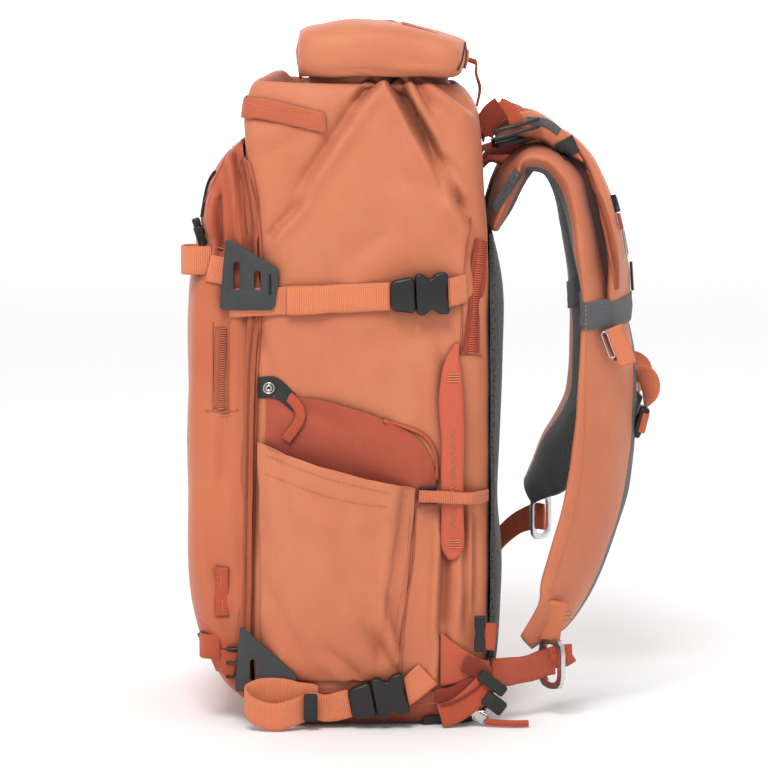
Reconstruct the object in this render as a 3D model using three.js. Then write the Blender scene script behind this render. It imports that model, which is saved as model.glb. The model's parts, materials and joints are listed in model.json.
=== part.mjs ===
// Camera backpack: a roll-top pack with a deep front pocket, side pockets and a padded harness.
// Millimetres, +Z up. The pack faces -Y, its harness +Y, and +X is the side with the grab handle.
// The origin is the middle of the base, on the surface that the pack stands on.
import * as THREE from "three";
import { mergeVertices } from "three/addons/utils/BufferGeometryUtils.js";

// Bag
const bagHeight = 566; // ground to the top of the stiff front lip
const bagHalfWidth = 151; // middle to a side panel at its fullest
const bagFront = 105; // middle of the base to the front wall
const bagBack = 104; // middle of the base to the back wall
const frontCorner = 16; // radius of the upright front corners
const backCorner = 34; // radius of the upright back corners
const sideCrown = 6; // how far a side panel bows out
const frontPull = 20; // how far the roll draws the middle of the front lip back
const lipRise = 9; // how far it lifts the same place
const bagWall = 3; // cloth with its foam
const floorGap = 3; // bottom of the bag above the ground
const seam = 0.5; // gap between pieces that are sewn on each other

// Roll top
const rollBottom = bagHeight + 2; // underside of the roll above the ground
const rollThick = 48; // flat roll from its underside to its crown
const rollFront = 66; // middle of the base to the front of the roll
const rollBack = 87; // middle of the base to the back of the roll
const rollHalf = 145; // middle to an end of the roll
const rollWall = 2.5;
const rollDroop = 17; // how far the back of the roll hangs below its crown
const rollDent = 3.5; // how deep the strap draws the roll in
const rollCorner = 24;
const neckGap = 1.5; // neck of the bag to the edge of the roll's opening
const lapThick = 2.2;
const lapHalf = 118;
const lapTravel = 5; // how far the last lap stands off the roll at its free edge

// Straps and webbing
const webThick = 1.6;
const strapWidth = 25; // compression straps
const rollStrapWidth = 20;
const thinWidth = 11; // pocket straps

// Front band over the top zip
const bandLow = 533; // lower edge at the front
const bandTall = 18;
const bandDrop = 13; // how far it slopes down along the side
const bandEnd = 40; // where it ends on the side, in front of the middle
const bandThick = 1.8;

// Front pocket
const pocketDepth = 62; // in front of the bag's front wall
const pocketHalf = 142;
const pocketWall = 3;
const pocketBoxiness = 0.36; // 1 is a round section, 0 a square one

// Base
const baseTall = 32;
const baseThick = 2.1;
const footTall = 8;
const footThick = 2.2;
const footReach = 16; // how far a foot runs along the side from the corner

// Side pocket and the panel behind it
const sidePocketFront = 97; // front seam, in front of the middle
const sidePocketBack = 38; // back seam at the top, behind the middle
const sidePocketSlant = 14; // how far the back seam comes forward at the bottom
const sidePocketLow = 41;
const sidePocketHigh = 252; // top edge at the front seam
const sidePocketFall = 40; // how far the top edge falls to the back seam
const sidePocketBulge = 21;
const sidePocketThick = 1.8;
const innerFront = 92;
const innerBack = 56;
const innerLow = 196;
const innerHigh = 292;
const innerThick = 1.5;
const innerBulge = 3.5;
const layerLift = 4.4; // side pocket's seam over the panel behind it

// Handle and pocket strap
const handleWidth = 20;
const handleThick = 3;
const handleLow = 148;
const handleHigh = 338;
const handleAt = 70; // behind the middle
const handleArch = 8;
const hookLong = 18;
const pocketStrapHeight = 205;

// Compression straps
const upperStrapHeight = 381; // middle of the upper buckle
const lowerStrapHeight = 22; // middle of the lower buckle
const buckleThick = 11;
const maleLong = 21;
const femaleLong = 29;
const buckleTall = 36;
const plateThick = 2.6;

// Back panel
const panelHalf = 124;
const panelLow = 48;
const panelHigh = 430;
const panelPad = 13; // thickest place of its foam
const panelHem = 3; // thickness at its edges
const channelHalf = 16; // air channel along the spine

// Harness
const strapReach = 104; // back wall to the middle of the strap where it stands off furthest
const shoulderHeight = 496; // top of the strap's arc above the ground
const strapSpread = 90; // middle of the pack to a strap, about at the armpit
const padWidth = 68;
const padThick = 16;
const overlayWidth = 56;
const overlayThick = 13;
const sleeveThick = 1.6;
const sleeveTall = 36;
const ringTall = 46;
const ringWide = 32;
const ringBar = 6;
const ringThick = 4.6;
const haulReach = 52; // how far the haul loop stands off the bag
const haulHeight = 512;
const haulWidth = 26;
const haulThick = 3;

const colours = {
  cloth: [0xd98457, 0.55, 0],
  deepCloth: [0xc65b38, 0.6, 0],
  webbing: [0xe08a5e, 0.75, 0],
  mesh: [0x3a3b3c, 0.9, 0],
  plastic: [0x1c1c1c, 0.45, 0],
  rubber: [0x2c2c2c, 0.8, 0],
  lashPlate: [0x4b4b49, 0.55, 0],
  sleeve: [0x5a5b5e, 0.7, 0],
  aluminium: [0xc9ccd0, 0.35, 1],
};

const pack = new THREE.Group();

function add(name, geometry, colour) {
  const [color, roughness, metalness] = colours[colour];
  const mesh = new THREE.Mesh(geometry, new THREE.MeshStandardMaterial({ color, roughness, metalness }));
  mesh.name = name;
  pack.add(mesh);
  return mesh;
}

// Small helpers
const vec = (x, y, z) => new THREE.Vector3(x, y, z);
const mix = (a, b, t) => a + (b - a) * t;
const clamp = (value, low, high) => Math.min(high, Math.max(low, value));
const steps = (count) => Array.from({ length: count + 1 }, (_, i) => i / count);

// Reads a table of rows at a value of one column, with straight lines between its rows
function readRow(rows, column, value) {
  const last = rows.length - 2;
  let i = 0;
  while (i < last && rows[i + 1][column] < value) i += 1;
  const t = clamp((value - rows[i][column]) / (rows[i + 1][column] - rows[i][column]), 0, 1);
  const read = {};
  for (const key of Object.keys(rows[i])) read[key] = mix(rows[i][key], rows[i + 1][key], t);
  return read;
}

// A closed body from points and faces, turned so that its faces point out
function body(points, faces) {
  let volume = 0;
  for (const [a, b, c] of faces) volume += points[a].dot(points[b].clone().cross(points[c]));
  const index = faces.flatMap(([a, b, c]) => (volume < 0 ? [a, c, b] : [a, b, c]));
  const geometry = new THREE.BufferGeometry().setFromPoints(points);
  geometry.setIndex(index);
  return geometry;
}

// Lofts closed rings of equal length. The ends are closed by a fan, by a ladder across a flat ring,
// or joined to each other.
function loft(rings, ends = "fan") {
  const size = rings[0].length;
  const points = rings.flat();
  const faces = [];
  const spans = ends === "joined" ? rings.length : rings.length - 1;
  for (let r = 0; r < spans; r += 1) {
    const low = r * size;
    const high = ((r + 1) % rings.length) * size;
    for (let i = 0; i < size; i += 1) {
      const j = (i + 1) % size;
      faces.push([low + i, low + j, high + j], [low + i, high + j, high + i]);
    }
  }
  if (ends === "joined") return body(points, faces);
  for (const [start, turned] of [[0, true], [(rings.length - 1) * size, false]]) {
    const faceOut = (a, b, c) => faces.push(turned ? [a, c, b] : [a, b, c]);
    if (ends === "fan") {
      const middle = vec(0, 0, 0);
      for (let i = 0; i < size; i += 1) middle.addScaledVector(points[start + i], 1 / size);
      points.push(middle);
      for (let i = 0; i < size; i += 1) faceOut(start + i, start + ((i + 1) % size), points.length - 1);
    } else {
      for (let i = 0; i < size / 2 - 1; i += 1) {
        const across = size - 1 - i;
        faceOut(start + i, start + i + 1, start + across - 1);
        faceOut(start + i, start + across - 1, start + across);
      }
    }
  }
  return body(points, faces);
}

// A sheet between an outer and an inner row of points at each step
const slab = (outer, inner) => loft(outer.map((row, i) => [...row, ...[...inner[i]].reverse()]), "ladder");

// A flat ribbon through stations, each with its place, the direction across it and its share of the width
function ribbon(stations, width, thick) {
  const outer = [];
  const inner = [];
  stations.forEach((station, i) => {
    const before = stations[Math.max(0, i - 1)].at;
    const after = stations[Math.min(stations.length - 1, i + 1)].at;
    const along = after.clone().sub(before).normalize();
    const across = station.across.clone().normalize();
    const out = along.clone().cross(across).normalize();
    const half = (width * (station.share ?? 1)) / 2;
    const edge = (sign, up) => station.at.clone().addScaledVector(across, sign * half)
      .addScaledVector(out, up * thick / 2);
    outer.push([edge(-1, 1), edge(1, 1)]);
    inner.push([edge(-1, -1), edge(1, -1)]);
  });
  return slab(outer, inner);
}

// The same body on the other side of the pack
function mirrored(geometry) {
  const copy = geometry.clone();
  copy.scale(-1, 1, 1);
  const index = [...copy.index.array];
  for (let i = 0; i < index.length; i += 3) [index[i + 1], index[i + 2]] = [index[i + 2], index[i + 1]];
  copy.setIndex(index);
  return copy;
}

// Adds a piece of the right side and its copy on the left side
function addPair(name, geometry, colour) {
  add(`${name}_right`, geometry, colour);
  add(`${name}_left`, mirrored(geometry), colour);
}

// A flat outline, given by its corners with one corner radius, pushed out to a plate
function roundedShape(corners, radius) {
  const shape = new THREE.Shape();
  corners.forEach(([x, y], i) => {
    const [px, py] = corners[(i + corners.length - 1) % corners.length];
    const [nx, ny] = corners[(i + 1) % corners.length];
    const before = Math.hypot(px - x, py - y);
    const after = Math.hypot(nx - x, ny - y);
    const cut = Math.min(radius, before / 2.2, after / 2.2);
    const startX = x + ((px - x) * cut) / before;
    const startY = y + ((py - y) * cut) / before;
    if (i === 0) shape.moveTo(startX, startY);
    else shape.lineTo(startX, startY);
    shape.quadraticCurveTo(x, y, x + ((nx - x) * cut) / after, y + ((ny - y) * cut) / after);
  });
  shape.closePath();
  return shape;
}

function plate(shape, thick, curveSegments = 2) {
  const geometry = new THREE.ExtrudeGeometry(shape, { depth: thick, bevelEnabled: false, curveSegments });
  geometry.deleteAttribute("normal");
  geometry.deleteAttribute("uv");
  return mergeVertices(geometry, 1e-4);
}

// Stands a plate up: its drawing's x runs along the given direction and its y along up
function stand(geometry, at, right, up) {
  const x = right.clone().normalize();
  const z = x.clone().cross(up).normalize();
  const y = z.clone().cross(x);
  geometry.applyMatrix4(new THREE.Matrix4().makeBasis(x, y, z).setPosition(at));
  return geometry;
}

// The bag is lofted through level sections. up is a share of the bag's height, front, back and half are
// shares of its three half sizes, dip lowers the front of a section, pull draws the middle of its front in,
// and lined says that the inner wall has a section there too.
const bagRows = [
  { up: floorGap / bagHeight, front: 0.9, back: 0.9, half: 0.93, dip: 0, pull: 0, lined: 1 },
  { up: 0.02, front: 0.965, back: 0.96, half: 0.975, dip: 0, pull: 0, lined: 1 },
  { up: 0.045, front: 0.99, back: 0.985, half: 0.99, dip: 0, pull: 0, lined: 0 },
  { up: 0.11, front: 1.02, back: 1, half: 1, dip: 0, pull: 0, lined: 1 },
  { up: 0.2, front: 1.02, back: 1, half: 1, dip: 0, pull: 0, lined: 0 },
  { up: 0.31, front: 1.01, back: 1, half: 1, dip: 0, pull: 0, lined: 0 },
  { up: 0.42, front: 1, back: 1, half: 1, dip: 0, pull: 0, lined: 1 },
  { up: 0.53, front: 0.985, back: 1, half: 1, dip: 0, pull: 0, lined: 0 },
  { up: 0.64, front: 0.97, back: 1, half: 1, dip: 0, pull: 0, lined: 0 },
  { up: 0.73, front: 0.955, back: 0.99, half: 0.995, dip: 0, pull: 0, lined: 1 },
  { up: 0.77, front: 0.965, back: 0.98, half: 0.99, dip: 0, pull: 0, lined: 0 },
  { up: 0.81, front: 0.985, back: 0.96, half: 0.985, dip: 0, pull: 0, lined: 1 },
  { up: 0.85, front: 1.03, back: 0.945, half: 0.975, dip: 0, pull: 0, lined: 0 },
  { up: 0.89, front: 1.06, back: 0.94, half: 0.965, dip: 0, pull: 0.1, lined: 1 },
  { up: 0.925, front: 1.075, back: 0.93, half: 0.955, dip: 0, pull: 0.4, lined: 0 },
  { up: 0.955, front: 1.07, back: 0.895, half: 0.945, dip: 0, pull: 0.7, lined: 1 },
  { up: 0.98, front: 1.045, back: 0.82, half: 0.93, dip: 0, pull: 0.9, lined: 0 },
  { up: 0.993, front: 1, back: 0.74, half: 0.9, dip: -0.007, pull: 1, lined: 1 },
  { up: 0.994, front: 0.93, back: 0.7, half: 0.88, dip: -0.003, pull: 1, lined: 0 },
  { up: 0.99, front: 0.85, back: 0.68, half: 0.865, dip: 0.02, pull: 1, lined: 1 },
  { up: 0.997, front: 0.528, back: 0.643, half: 0.852, dip: 0.01, pull: 0, lined: 1 },
  { up: 1.03, front: 0.52, back: 0.64, half: 0.85, dip: 0, pull: 0, lined: 1 },
];
const shoulderRow = 16; // the sections up to here rise one above the other

// Creases of the side gusset, from where they meet under the roll. y is a share of the bag's back half,
// up a share of its height, and the crease is deep and wide as a share of its wall's own thickness.
const creases = [
  { y0: 0.12, up0: 0.985, y1: 0.83, up1: 0.79, wide: 3.2, deep: 2.1 },
  { y0: 0.17, up0: 0.98, y1: 0.42, up1: 0.885, wide: 2.8, deep: 1.7 },
  { y0: 0.02, up0: 0.985, y1: -0.8, up1: 0.77, wide: 3.4, deep: 1.8 },
  { y0: 0.48, up0: 0.985, y1: 0.88, up1: 0.92, wide: 3, deep: 1.3 },
];

function creaseDepth(y, z) {
  let depth = 0;
  for (const crease of creases) {
    const startY = crease.y0 * bagBack;
    const startZ = crease.up0 * bagHeight;
    const runY = crease.y1 * bagBack - startY;
    const runZ = crease.up1 * bagHeight - startZ;
    const share = ((y - startY) * runY + (z - startZ) * runZ) / (runY * runY + runZ * runZ);
    const along = clamp(share, 0, 1);
    const away = Math.hypot(y - startY - along * runY, z - startZ - along * runZ);
    const fade = 1 - clamp(Math.abs(share - 0.45) / 0.75, 0, 1) ** 3;
    depth += crease.deep * bagWall * fade * Math.exp(-((away / (crease.wide * bagWall)) ** 2));
  }
  return depth;
}

// Sizes of one section, moved out by a distance
function sectionOf(row, out) {
  const half = row.half * bagHalfWidth - sideCrown + out;
  return {
    half,
    front: -row.front * bagFront - out,
    back: row.back * bagBack + out,
    frontRadius: frontCorner + out,
    backRadius: backCorner + out,
    crown: sideCrown,
    pull: row.pull * frontPull,
  };
}

// Places round a section, on the right side from the front to the back, round the back and home again
function placesRound(sideShares, backShares, frontShares) {
  const list = [];
  const put = (face, sign, shares) => shares.forEach((share) => list.push({ face, sign, share }));
  const turned = (shares) => shares.map((share) => 1 - share).reverse();
  put("side", 1, sideShares);
  put("backCorner", 1, steps(4).slice(1));
  put("back", 1, backShares.slice(1));
  put("backCorner", -1, turned(steps(4)).slice(0, -1).reverse());
  put("side", -1, [...sideShares].reverse().slice(1));
  put("frontCorner", -1, steps(3).slice(0, -1).reverse());
  put("front", 1, frontShares.slice(1));
  put("frontCorner", 1, steps(3).slice(1, -1));
  return list;
}
const places = placesRound(steps(10), steps(4), steps(6));
const dented = [0, 0.38, 0.45, 0.5, 0.55, 0.62, 1];
const rollPlaces = placesRound(steps(8), dented, dented);
const basePlaces = placesRound(steps(5), steps(1), steps(1));

function sectionPoint(section, place) {
  const { half, front, back, frontRadius, backRadius } = section;
  const turn = (place.share * Math.PI) / 2;
  if (place.face === "side") {
    const bow = 1 - (2 * place.share - 1) ** 2;
    return [place.sign * (half + section.crown * bow), mix(front + frontRadius, back - backRadius, place.share)];
  }
  if (place.face === "back") return [mix(1, -1, place.share) * (half - backRadius), back];
  if (place.face === "front") {
    const draw = section.pull * (1 - (2 * place.share - 1) ** 2);
    return [mix(-1, 1, place.share) * (half - frontRadius), front + draw];
  }
  if (place.face === "backCorner") {
    const x = half - backRadius + backRadius * Math.cos(turn);
    return [place.sign * x, back - backRadius + backRadius * Math.sin(turn)];
  }
  const x = half - frontRadius + frontRadius * Math.sin(turn);
  return [place.sign * x, front + frontRadius - frontRadius * Math.cos(turn)];
}

function sectionRing(row, out = 0, lift = 0, which = places) {
  const section = sectionOf(row, out);
  return which.map((place) => {
    const [x, y] = sectionPoint(section, place);
    const ahead = clamp((section.back - y) / (section.back - section.front), 0, 1);
    const z = (row.up - row.dip * ahead ** 2) * bagHeight + lift + lipLift(row, place);
    const crease = place.face === "side" ? creaseDepth(y, z) : 0;
    return vec(x - Math.sign(x) * crease, y, z);
  });
}

// How far the roll lifts a place of the front lip
const lipLift = (row, place) => (
  place.face === "front" ? lipRise * row.pull * (1 - (2 * place.share - 1) ** 2) : 0);

const rowAt = (z) => readRow(bagRows.slice(0, shoulderRow + 1), "up", z / bagHeight);

// A point on the right side of the bag, at a place along it and a height, moved off its cloth
function onSide(y, z, off) {
  const section = sectionOf(rowAt(z), 0);
  const startBack = section.back - section.backRadius;
  const startFront = section.front + section.frontRadius;
  if (y > startBack) {
    const sine = clamp((y - startBack) / section.backRadius, 0, 1);
    const cosine = Math.sqrt(1 - sine * sine);
    const reach = section.backRadius + off;
    return vec(section.half - section.backRadius + reach * cosine, startBack + reach * sine, z);
  }
  if (y < startFront) {
    const sine = clamp((startFront - y) / section.frontRadius, 0, 1);
    const cosine = Math.sqrt(1 - sine * sine);
    const reach = section.frontRadius + off;
    return vec(section.half - section.frontRadius + reach * cosine, startFront - reach * sine, z);
  }
  const share = (y - startFront) / (startBack - startFront);
  return vec(section.half + section.crown * (1 - (2 * share - 1) ** 2) + off, y, z);
}

function mainBag() {
  const outer = bagRows.map((row) => sectionRing(row));
  const lined = bagRows.filter((row) => row.lined === 1);
  const inner = lined.map((row, i) => {
    const lift = i === 0 ? bagWall : -bagWall * clamp((row.up - 0.95) / 0.04, 0, 1) * (row.up > 1 ? 0 : 1);
    return sectionRing(row, -bagWall, lift);
  });
  return loft([...outer, ...inner.reverse()]);
}

// The roll is lofted in the same way, from the edge of its opening out and up to its crown
const rollRows = [
  { rise: 0.02, front: 0, back: 0, half: 0 },
  { rise: 0, front: 0.35, back: 0.5, half: 0.5 },
  { rise: 0.14, front: 0.85, back: 0.9, half: 0.86 },
  { rise: 0.38, front: 1, back: 1, half: 1 },
  { rise: 0.66, front: 0.95, back: 0.86, half: 0.93 },
  { rise: 0.86, front: 0.45, back: 0.45, half: 0.55 },
];
const crownRows = [
  { rise: 0.97, front: 0.62, back: 0.62, half: 0.8 },
  { rise: 1, front: 0.25, back: 0.3, half: 0.45 },
  { rise: 1, front: 0.02, back: 0.04, half: 0.04 },
];
const neckRow = bagRows[bagRows.length - 1];

// Height of the roll's cloth, which droops to the back and is drawn in under the strap
function rollHeight(x, y, rise) {
  const droop = rollDroop * clamp((y + 5) / rollBack, 0, 1) ** 1.6 * rise;
  const strapDent = rollDent * Math.exp(-((x / (rollStrapWidth * 1.3)) ** 2)) * rise;
  const tiltFront = 4 * clamp((-y - 20) / rollFront, 0, 1) * rise;
  return rollBottom + rise * rollThick - droop - strapDent - tiltFront;
}

function rollRing(row, out) {
  const neck = sectionOf(neckRow, neckGap);
  const crowned = crownRows.includes(row);
  const size = crowned
    ? { half: row.half * rollHalf, front: -row.front * rollFront, back: row.back * rollBack }
    : {
      half: mix(neck.half, rollHalf, row.half),
      front: mix(neck.front, -rollFront, row.front),
      back: mix(neck.back, rollBack, row.back),
    };
  const half = size.half + out;
  const front = size.front - out;
  const back = size.back + out;
  const round = (neckRadius) => Math.min(
    crowned ? rollCorner : mix(neckRadius, rollCorner, row.half), (back - front) * 0.4, half * 0.5);
  const frontRadius = round(neck.frontRadius);
  const backRadius = round(neck.backRadius);
  const crown = crowned ? 0 : mix(neck.crown, 0, row.half);
  const section = { half, front, back, frontRadius, backRadius, crown, pull: 0 };
  const inset = out < 0 ? -out * (1 - 2 * row.rise) : 0;
  return rollPlaces.map((place) => {
    const [x, y] = sectionPoint(section, place);
    return vec(x, y, rollHeight(x, y, row.rise) + inset);
  });
}

function rollTop() {
  const rows = [...rollRows, ...crownRows];
  const outer = rows.map((row) => rollRing(row, 0));
  const edge = rollRing(rollRows[0], 0).map((point) => point.clone().setZ(point.z + rollWall));
  const inner = rows.slice(1).map((row) => rollRing(row, -rollWall));
  return loft([...inner.reverse(), edge, ...outer]);
}

// The roll's cloth in the middle plane, from the crown down its back or its front, moved off it
function rollLine(sign, rows, x, off) {
  const line = rows.map((row) => {
    const y = sign * Math.max(...rollRing(row, 0).map((point) => sign * point.y));
    return vec(0, y, rollHeight(x, y, row.rise));
  });
  return line.map((point, i) => {
    const along = line[Math.min(i + 1, line.length - 1)].clone().sub(line[Math.max(0, i - 1)]).normalize();
    return point.clone().addScaledVector(vec(0, -along.z, along.y), sign * off(i));
  });
}
const lapRows = [crownRows[1], crownRows[0], rollRows[5], rollRows[4], rollRows[3], rollRows[2]];
const lapLine = (off) => rollLine(1, lapRows, lapHalf, (i) => off + lapTravel * clamp((i - 3) / 2, 0, 1));

function rollLap() {
  const row = (line) => line.map((point) => steps(4).map((t) => point.clone().setX(mix(-lapHalf, lapHalf, t))));
  return slab(row(lapLine(seam + lapThick)), row(lapLine(seam)));
}

// The strap runs from the back of the bag over the lap and the crown, and down to the valley in front
function rollStrap() {
  const onCloth = seam + webThick / 2;
  const anchorHigh = rollBottom - 28;
  const low = sectionOf(rowAt(anchorHigh), 0).back + onCloth;
  const back = lapLine(seam + lapThick + onCloth).reverse();
  const frontRows = [crownRows[1], crownRows[0], rollRows[5], rollRows[4], rollRows[3], rollRows[2]];
  const front = rollLine(-1, frontRows, 0, () => onCloth + 0.4);
  const valley = vec(0, front[front.length - 1].y + 1, rollBottom - 3);
  const points = [vec(0, low, anchorHigh), vec(0, low + 3, rollBottom - 12), ...back, ...front, valley];
  return ribbon(points.map((at) => ({ at, across: vec(-1, 0, 0) })), rollStrapWidth, webThick);
}

function frontBand() {
  const { front, back, frontRadius, backRadius } = sectionOf(rowAt(bandLow), 0);
  const reach = (-bandEnd - front - frontRadius) / (back - backRadius - front - frontRadius);
  const route = [];
  for (const t of steps(3)) route.push({ face: "side", share: reach * (1 - t), sign: -1, drop: 1 - t });
  for (const t of steps(3).slice(1)) route.push({ face: "frontCorner", share: 1 - t, sign: -1, drop: 0 });
  for (const t of steps(6).slice(1)) route.push({ face: "front", share: t, sign: 1, drop: 0 });
  for (const t of steps(3).slice(1)) route.push({ face: "frontCorner", share: t, sign: 1, drop: 0 });
  for (const t of steps(3).slice(1)) route.push({ face: "side", share: reach * t, sign: 1, drop: t });
  const row = (place, off) => steps(2).map((level) => {
    const z = bandLow - bandDrop * place.drop + bandTall * level;
    const section = rowAt(z);
    const [x, y] = sectionPoint(sectionOf(section, off), place);
    return vec(x, y, z + lipLift(section, place));
  });
  const near = seam + 0.7;
  return slab(route.map((place) => row(place, near + bandThick)), route.map((place) => row(place, near)));
}

// Sections of the front pocket: up is a share of the bag's height, depth and half are shares of its own
const pocketRows = [
  { up: 0.029, depth: 0.06, half: 0.9 },
  { up: 0.05, depth: 0.34, half: 0.93 },
  { up: 0.061, depth: 0.44, half: 0.94 },
  { up: 0.075, depth: 0.55, half: 0.95 },
  { up: 0.11, depth: 0.72, half: 0.98 },
  { up: 0.15, depth: 0.82, half: 1 },
  { up: 0.2, depth: 0.93, half: 1 },
  { up: 0.31, depth: 0.96, half: 1 },
  { up: 0.48, depth: 0.98, half: 1 },
  { up: 0.64, depth: 1, half: 1 },
  { up: 0.7, depth: 1, half: 1 },
  { up: 0.73, depth: 0.88, half: 0.99 },
  { up: 0.75, depth: 0.7, half: 0.98 },
  { up: 0.778, depth: 0.85, half: 0.98 },
  { up: 0.815, depth: 0.74, half: 0.96 },
  { up: 0.867, depth: 0.44, half: 0.93 },
  { up: 0.89, depth: 0.26, half: 0.88 },
  { up: 0.905, depth: 0.04, half: 0.82 },
];

// How far the pocket's seam stands off the bag's cloth, over the edge of the base and above it
const pocketSeat = (z) => seam + (baseThick + seam) * clamp((baseTall + 9 - z) / 7, 0, 1);

function frontPocket() {
  const turns = steps(12).map((t) => t * Math.PI);
  const power = (value) => Math.sign(value) * Math.abs(value) ** pocketBoxiness;
  const row = (entry, half, depth, z) => turns.map((turn) => {
    const plane = sectionOf(rowAt(z), pocketSeat(z)).front;
    return vec(half * power(Math.cos(turn)), plane - depth * power(Math.sin(turn)), z);
  });
  const last = pocketRows.length - 1;
  const outer = pocketRows.map((entry) => (
    row(entry, entry.half * pocketHalf, entry.depth * pocketDepth, entry.up * bagHeight)));
  const inner = pocketRows.map((entry, i) => {
    const inset = i === 0 ? pocketWall : i === last ? -pocketWall : 0;
    const z = entry.up * bagHeight + inset;
    const depth = Math.max(0, entry.depth * pocketDepth - pocketWall);
    return row(entry, entry.half * pocketHalf - pocketWall, depth, z);
  });
  return slab(outer, inner);
}

// Base
function basePanel() {
  const levels = [1 / 3, 1, 2].map((i) => (i < 1 ? floorGap : bagRows[i].up * bagHeight));
  const ring = (z, out) => sectionRing({ ...rowAt(z), up: z / bagHeight }, out, 0, basePlaces);
  const outer = [...levels, baseTall].map((z) => ring(z, seam + baseThick));
  const inner = [...levels.slice(1), baseTall].map((z) => ring(z, seam));
  const underside = ring(floorGap, -1.5).map((point) => point.setZ(0));
  const floor = ring(floorGap, 0.2).map((point) => point.setZ(floorGap - 0.7));
  return loft([underside, ...outer, ...inner.reverse(), floor]);
}

function cornerFoot(face) {
  const off = seam + baseThick + seam;
  const { half, front, back, frontRadius, backRadius } = sectionOf(rowAt(0), 0);
  const along = footReach / (back - backRadius - front - frontRadius);
  const side = face === "frontCorner" ? along : 1 - along;
  const radius = face === "frontCorner" ? frontRadius : backRadius;
  const across = footReach / (2 * (half - radius));
  const route = [{ face: "side", share: side, sign: 1 }];
  for (const t of steps(4)) route.push({ face, share: face === "frontCorner" ? 1 - t : t, sign: 1 });
  route.push(face === "frontCorner" ? { face: "front", share: 1 - across } : { face: "back", share: across });
  const row = (place, out) => steps(1).map((level) => {
    const z = level * footTall;
    const [x, y] = sectionPoint(sectionOf(rowAt(z), out), place);
    return vec(x, y, z);
  });
  return slab(route.map((place) => row(place, off + footThick)), route.map((place) => row(place, off)));
}

// Side pocket: a free top edge, and a bulge that starts at its seams
function sidePocket() {
  const high = (u) => sidePocketHigh - sidePocketFall * u ** 0.8;
  const point = (u, v, off) => {
    const z = mix(sidePocketLow, high(u), v);
    const backSeam = sidePocketBack - sidePocketSlant * (1 - v);
    const y = mix(-sidePocketFront, backSeam, u);
    const belly = Math.sin(Math.PI * u) ** 0.65 * Math.sin((Math.PI / 2) * Math.min(1, v * 1.6)) ** 0.8;
    const layers = layerLift * clamp((z - innerLow + 22) / 16, 0, 1);
    return onSide(y, z, seam + layers + sidePocketBulge * belly + off);
  };
  const levels = [0, 0.08, 0.2, 0.4, 0.6, 0.75, 0.88, 1];
  const sheet = (off) => levels.map((v) => steps(10).map((u) => point(u, v, off)));
  return slab(sheet(sidePocketThick), sheet(0));
}

function innerPocket() {
  const edge = [
    { y: -1, high: 1 }, { y: -0.5, high: 0.98 }, { y: 0, high: 0.84 }, { y: 0.5, high: 0.7 },
    { y: 0.85, high: 0.6 }, { y: 1, high: 0.36 },
  ];
  const point = (u, v, off) => {
    const y = mix(-innerFront, innerBack, u);
    const high = readRow(edge, "y", y < 0 ? y / innerFront : y / innerBack).high;
    const z = mix(innerLow, mix(innerLow, innerHigh, high), v);
    return onSide(y, z, seam + innerBulge * Math.sin(Math.PI * u) * v + off);
  };
  const sheet = (off) => steps(2).map((v) => steps(10).map((u) => point(u, v, off)));
  return slab(sheet(innerThick), sheet(0));
}

// Stations of a ribbon on the side of the bag, each row with y, z, distance off the cloth and width share
const onSideStations = (rows, across, thick) => rows.map(([y, z, off, share]) => (
  { at: onSide(y, z, off + thick / 2), across, share }));
const leaning = (tilt) => vec(0, -Math.tan(tilt), 1);

function sideHandle() {
  const top = handleHigh - handleLow;
  const rows = [
    [handleAt + 4, handleHigh, seam, 0.2], [handleAt, handleLow + top * 0.93, seam + 1, 0.6],
    [handleAt - 1, handleLow + top * 0.78, seam + handleArch * 0.7, 1.05],
    [handleAt, handleLow + top * 0.5, seam + handleArch, 1],
    [handleAt, handleLow + top * 0.2, seam + handleArch * 0.7, 1],
    [handleAt, handleLow + top * 0.05, seam + 1, 0.95], [handleAt, handleLow, seam, 0.35],
  ];
  return ribbon(onSideStations(rows, vec(0, -1, 0), handleThick), handleWidth, handleThick);
}

function pocketStrap(over) {
  const start = sidePocketBack + 3;
  const z = pocketStrapHeight;
  const rows = [
    [start, z, layerLift + 1], [start + hookLong * 0.6, z, Math.max(layerLift + 1, over * 0.8)],
    [handleAt - handleWidth * 0.6, z, over], [handleAt, z - 1, over], [handleAt + handleWidth * 0.6, z - 2, over],
    [bagBack - 8, z - 3, seam + 2], [bagBack - 3, z - 3, seam],
  ];
  return ribbon(onSideStations(rows, vec(0, 0, 1), webThick), thinWidth, webThick);
}

// Compression straps. The plate stands over the front corner, and the webbing runs behind it.
const upperPlate = {
  corners: [[-133, -13], [-85, -13], [-80, 23], [-127, 50]],
  slots: [[-117.5, 17, 25], [-99.5, 13, 17]],
  backEdge: -80,
  off: seam + webThick + seam + 0.6,
};
const lowerPlate = {
  corners: [[-121, 9], [-68, 14], [-66, 24], [-116, 69]],
  slots: [[-104.5, 29, 19]],
  backEdge: -66,
  off: seam + 5.8,
};
const plateTilt = 0.07; // how much the plate turns in towards the front
const slotWide = 6;

const plateFace = (kind, height, y) => (
  onSide(kind.backEdge, height + 20, kind.off).x + (y - kind.backEdge) * plateTilt);

function lashPlate(kind, height) {
  const shape = roundedShape(kind.corners, 5);
  for (const [y, z, tall] of kind.slots) {
    const half = slotWide / 2;
    const hole = new THREE.Path();
    hole.absarc(y, z + tall / 2 - half, half, 0, Math.PI, false);
    hole.absarc(y, z - tall / 2 + half, half, Math.PI, 2 * Math.PI, false);
    shape.holes.push(hole);
  }
  const at = vec(plateFace(kind, height, 0), 0, height);
  return stand(plate(shape, plateThick, 3), at, vec(plateTilt, 1, 0), vec(0, 0, 1));
}

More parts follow.
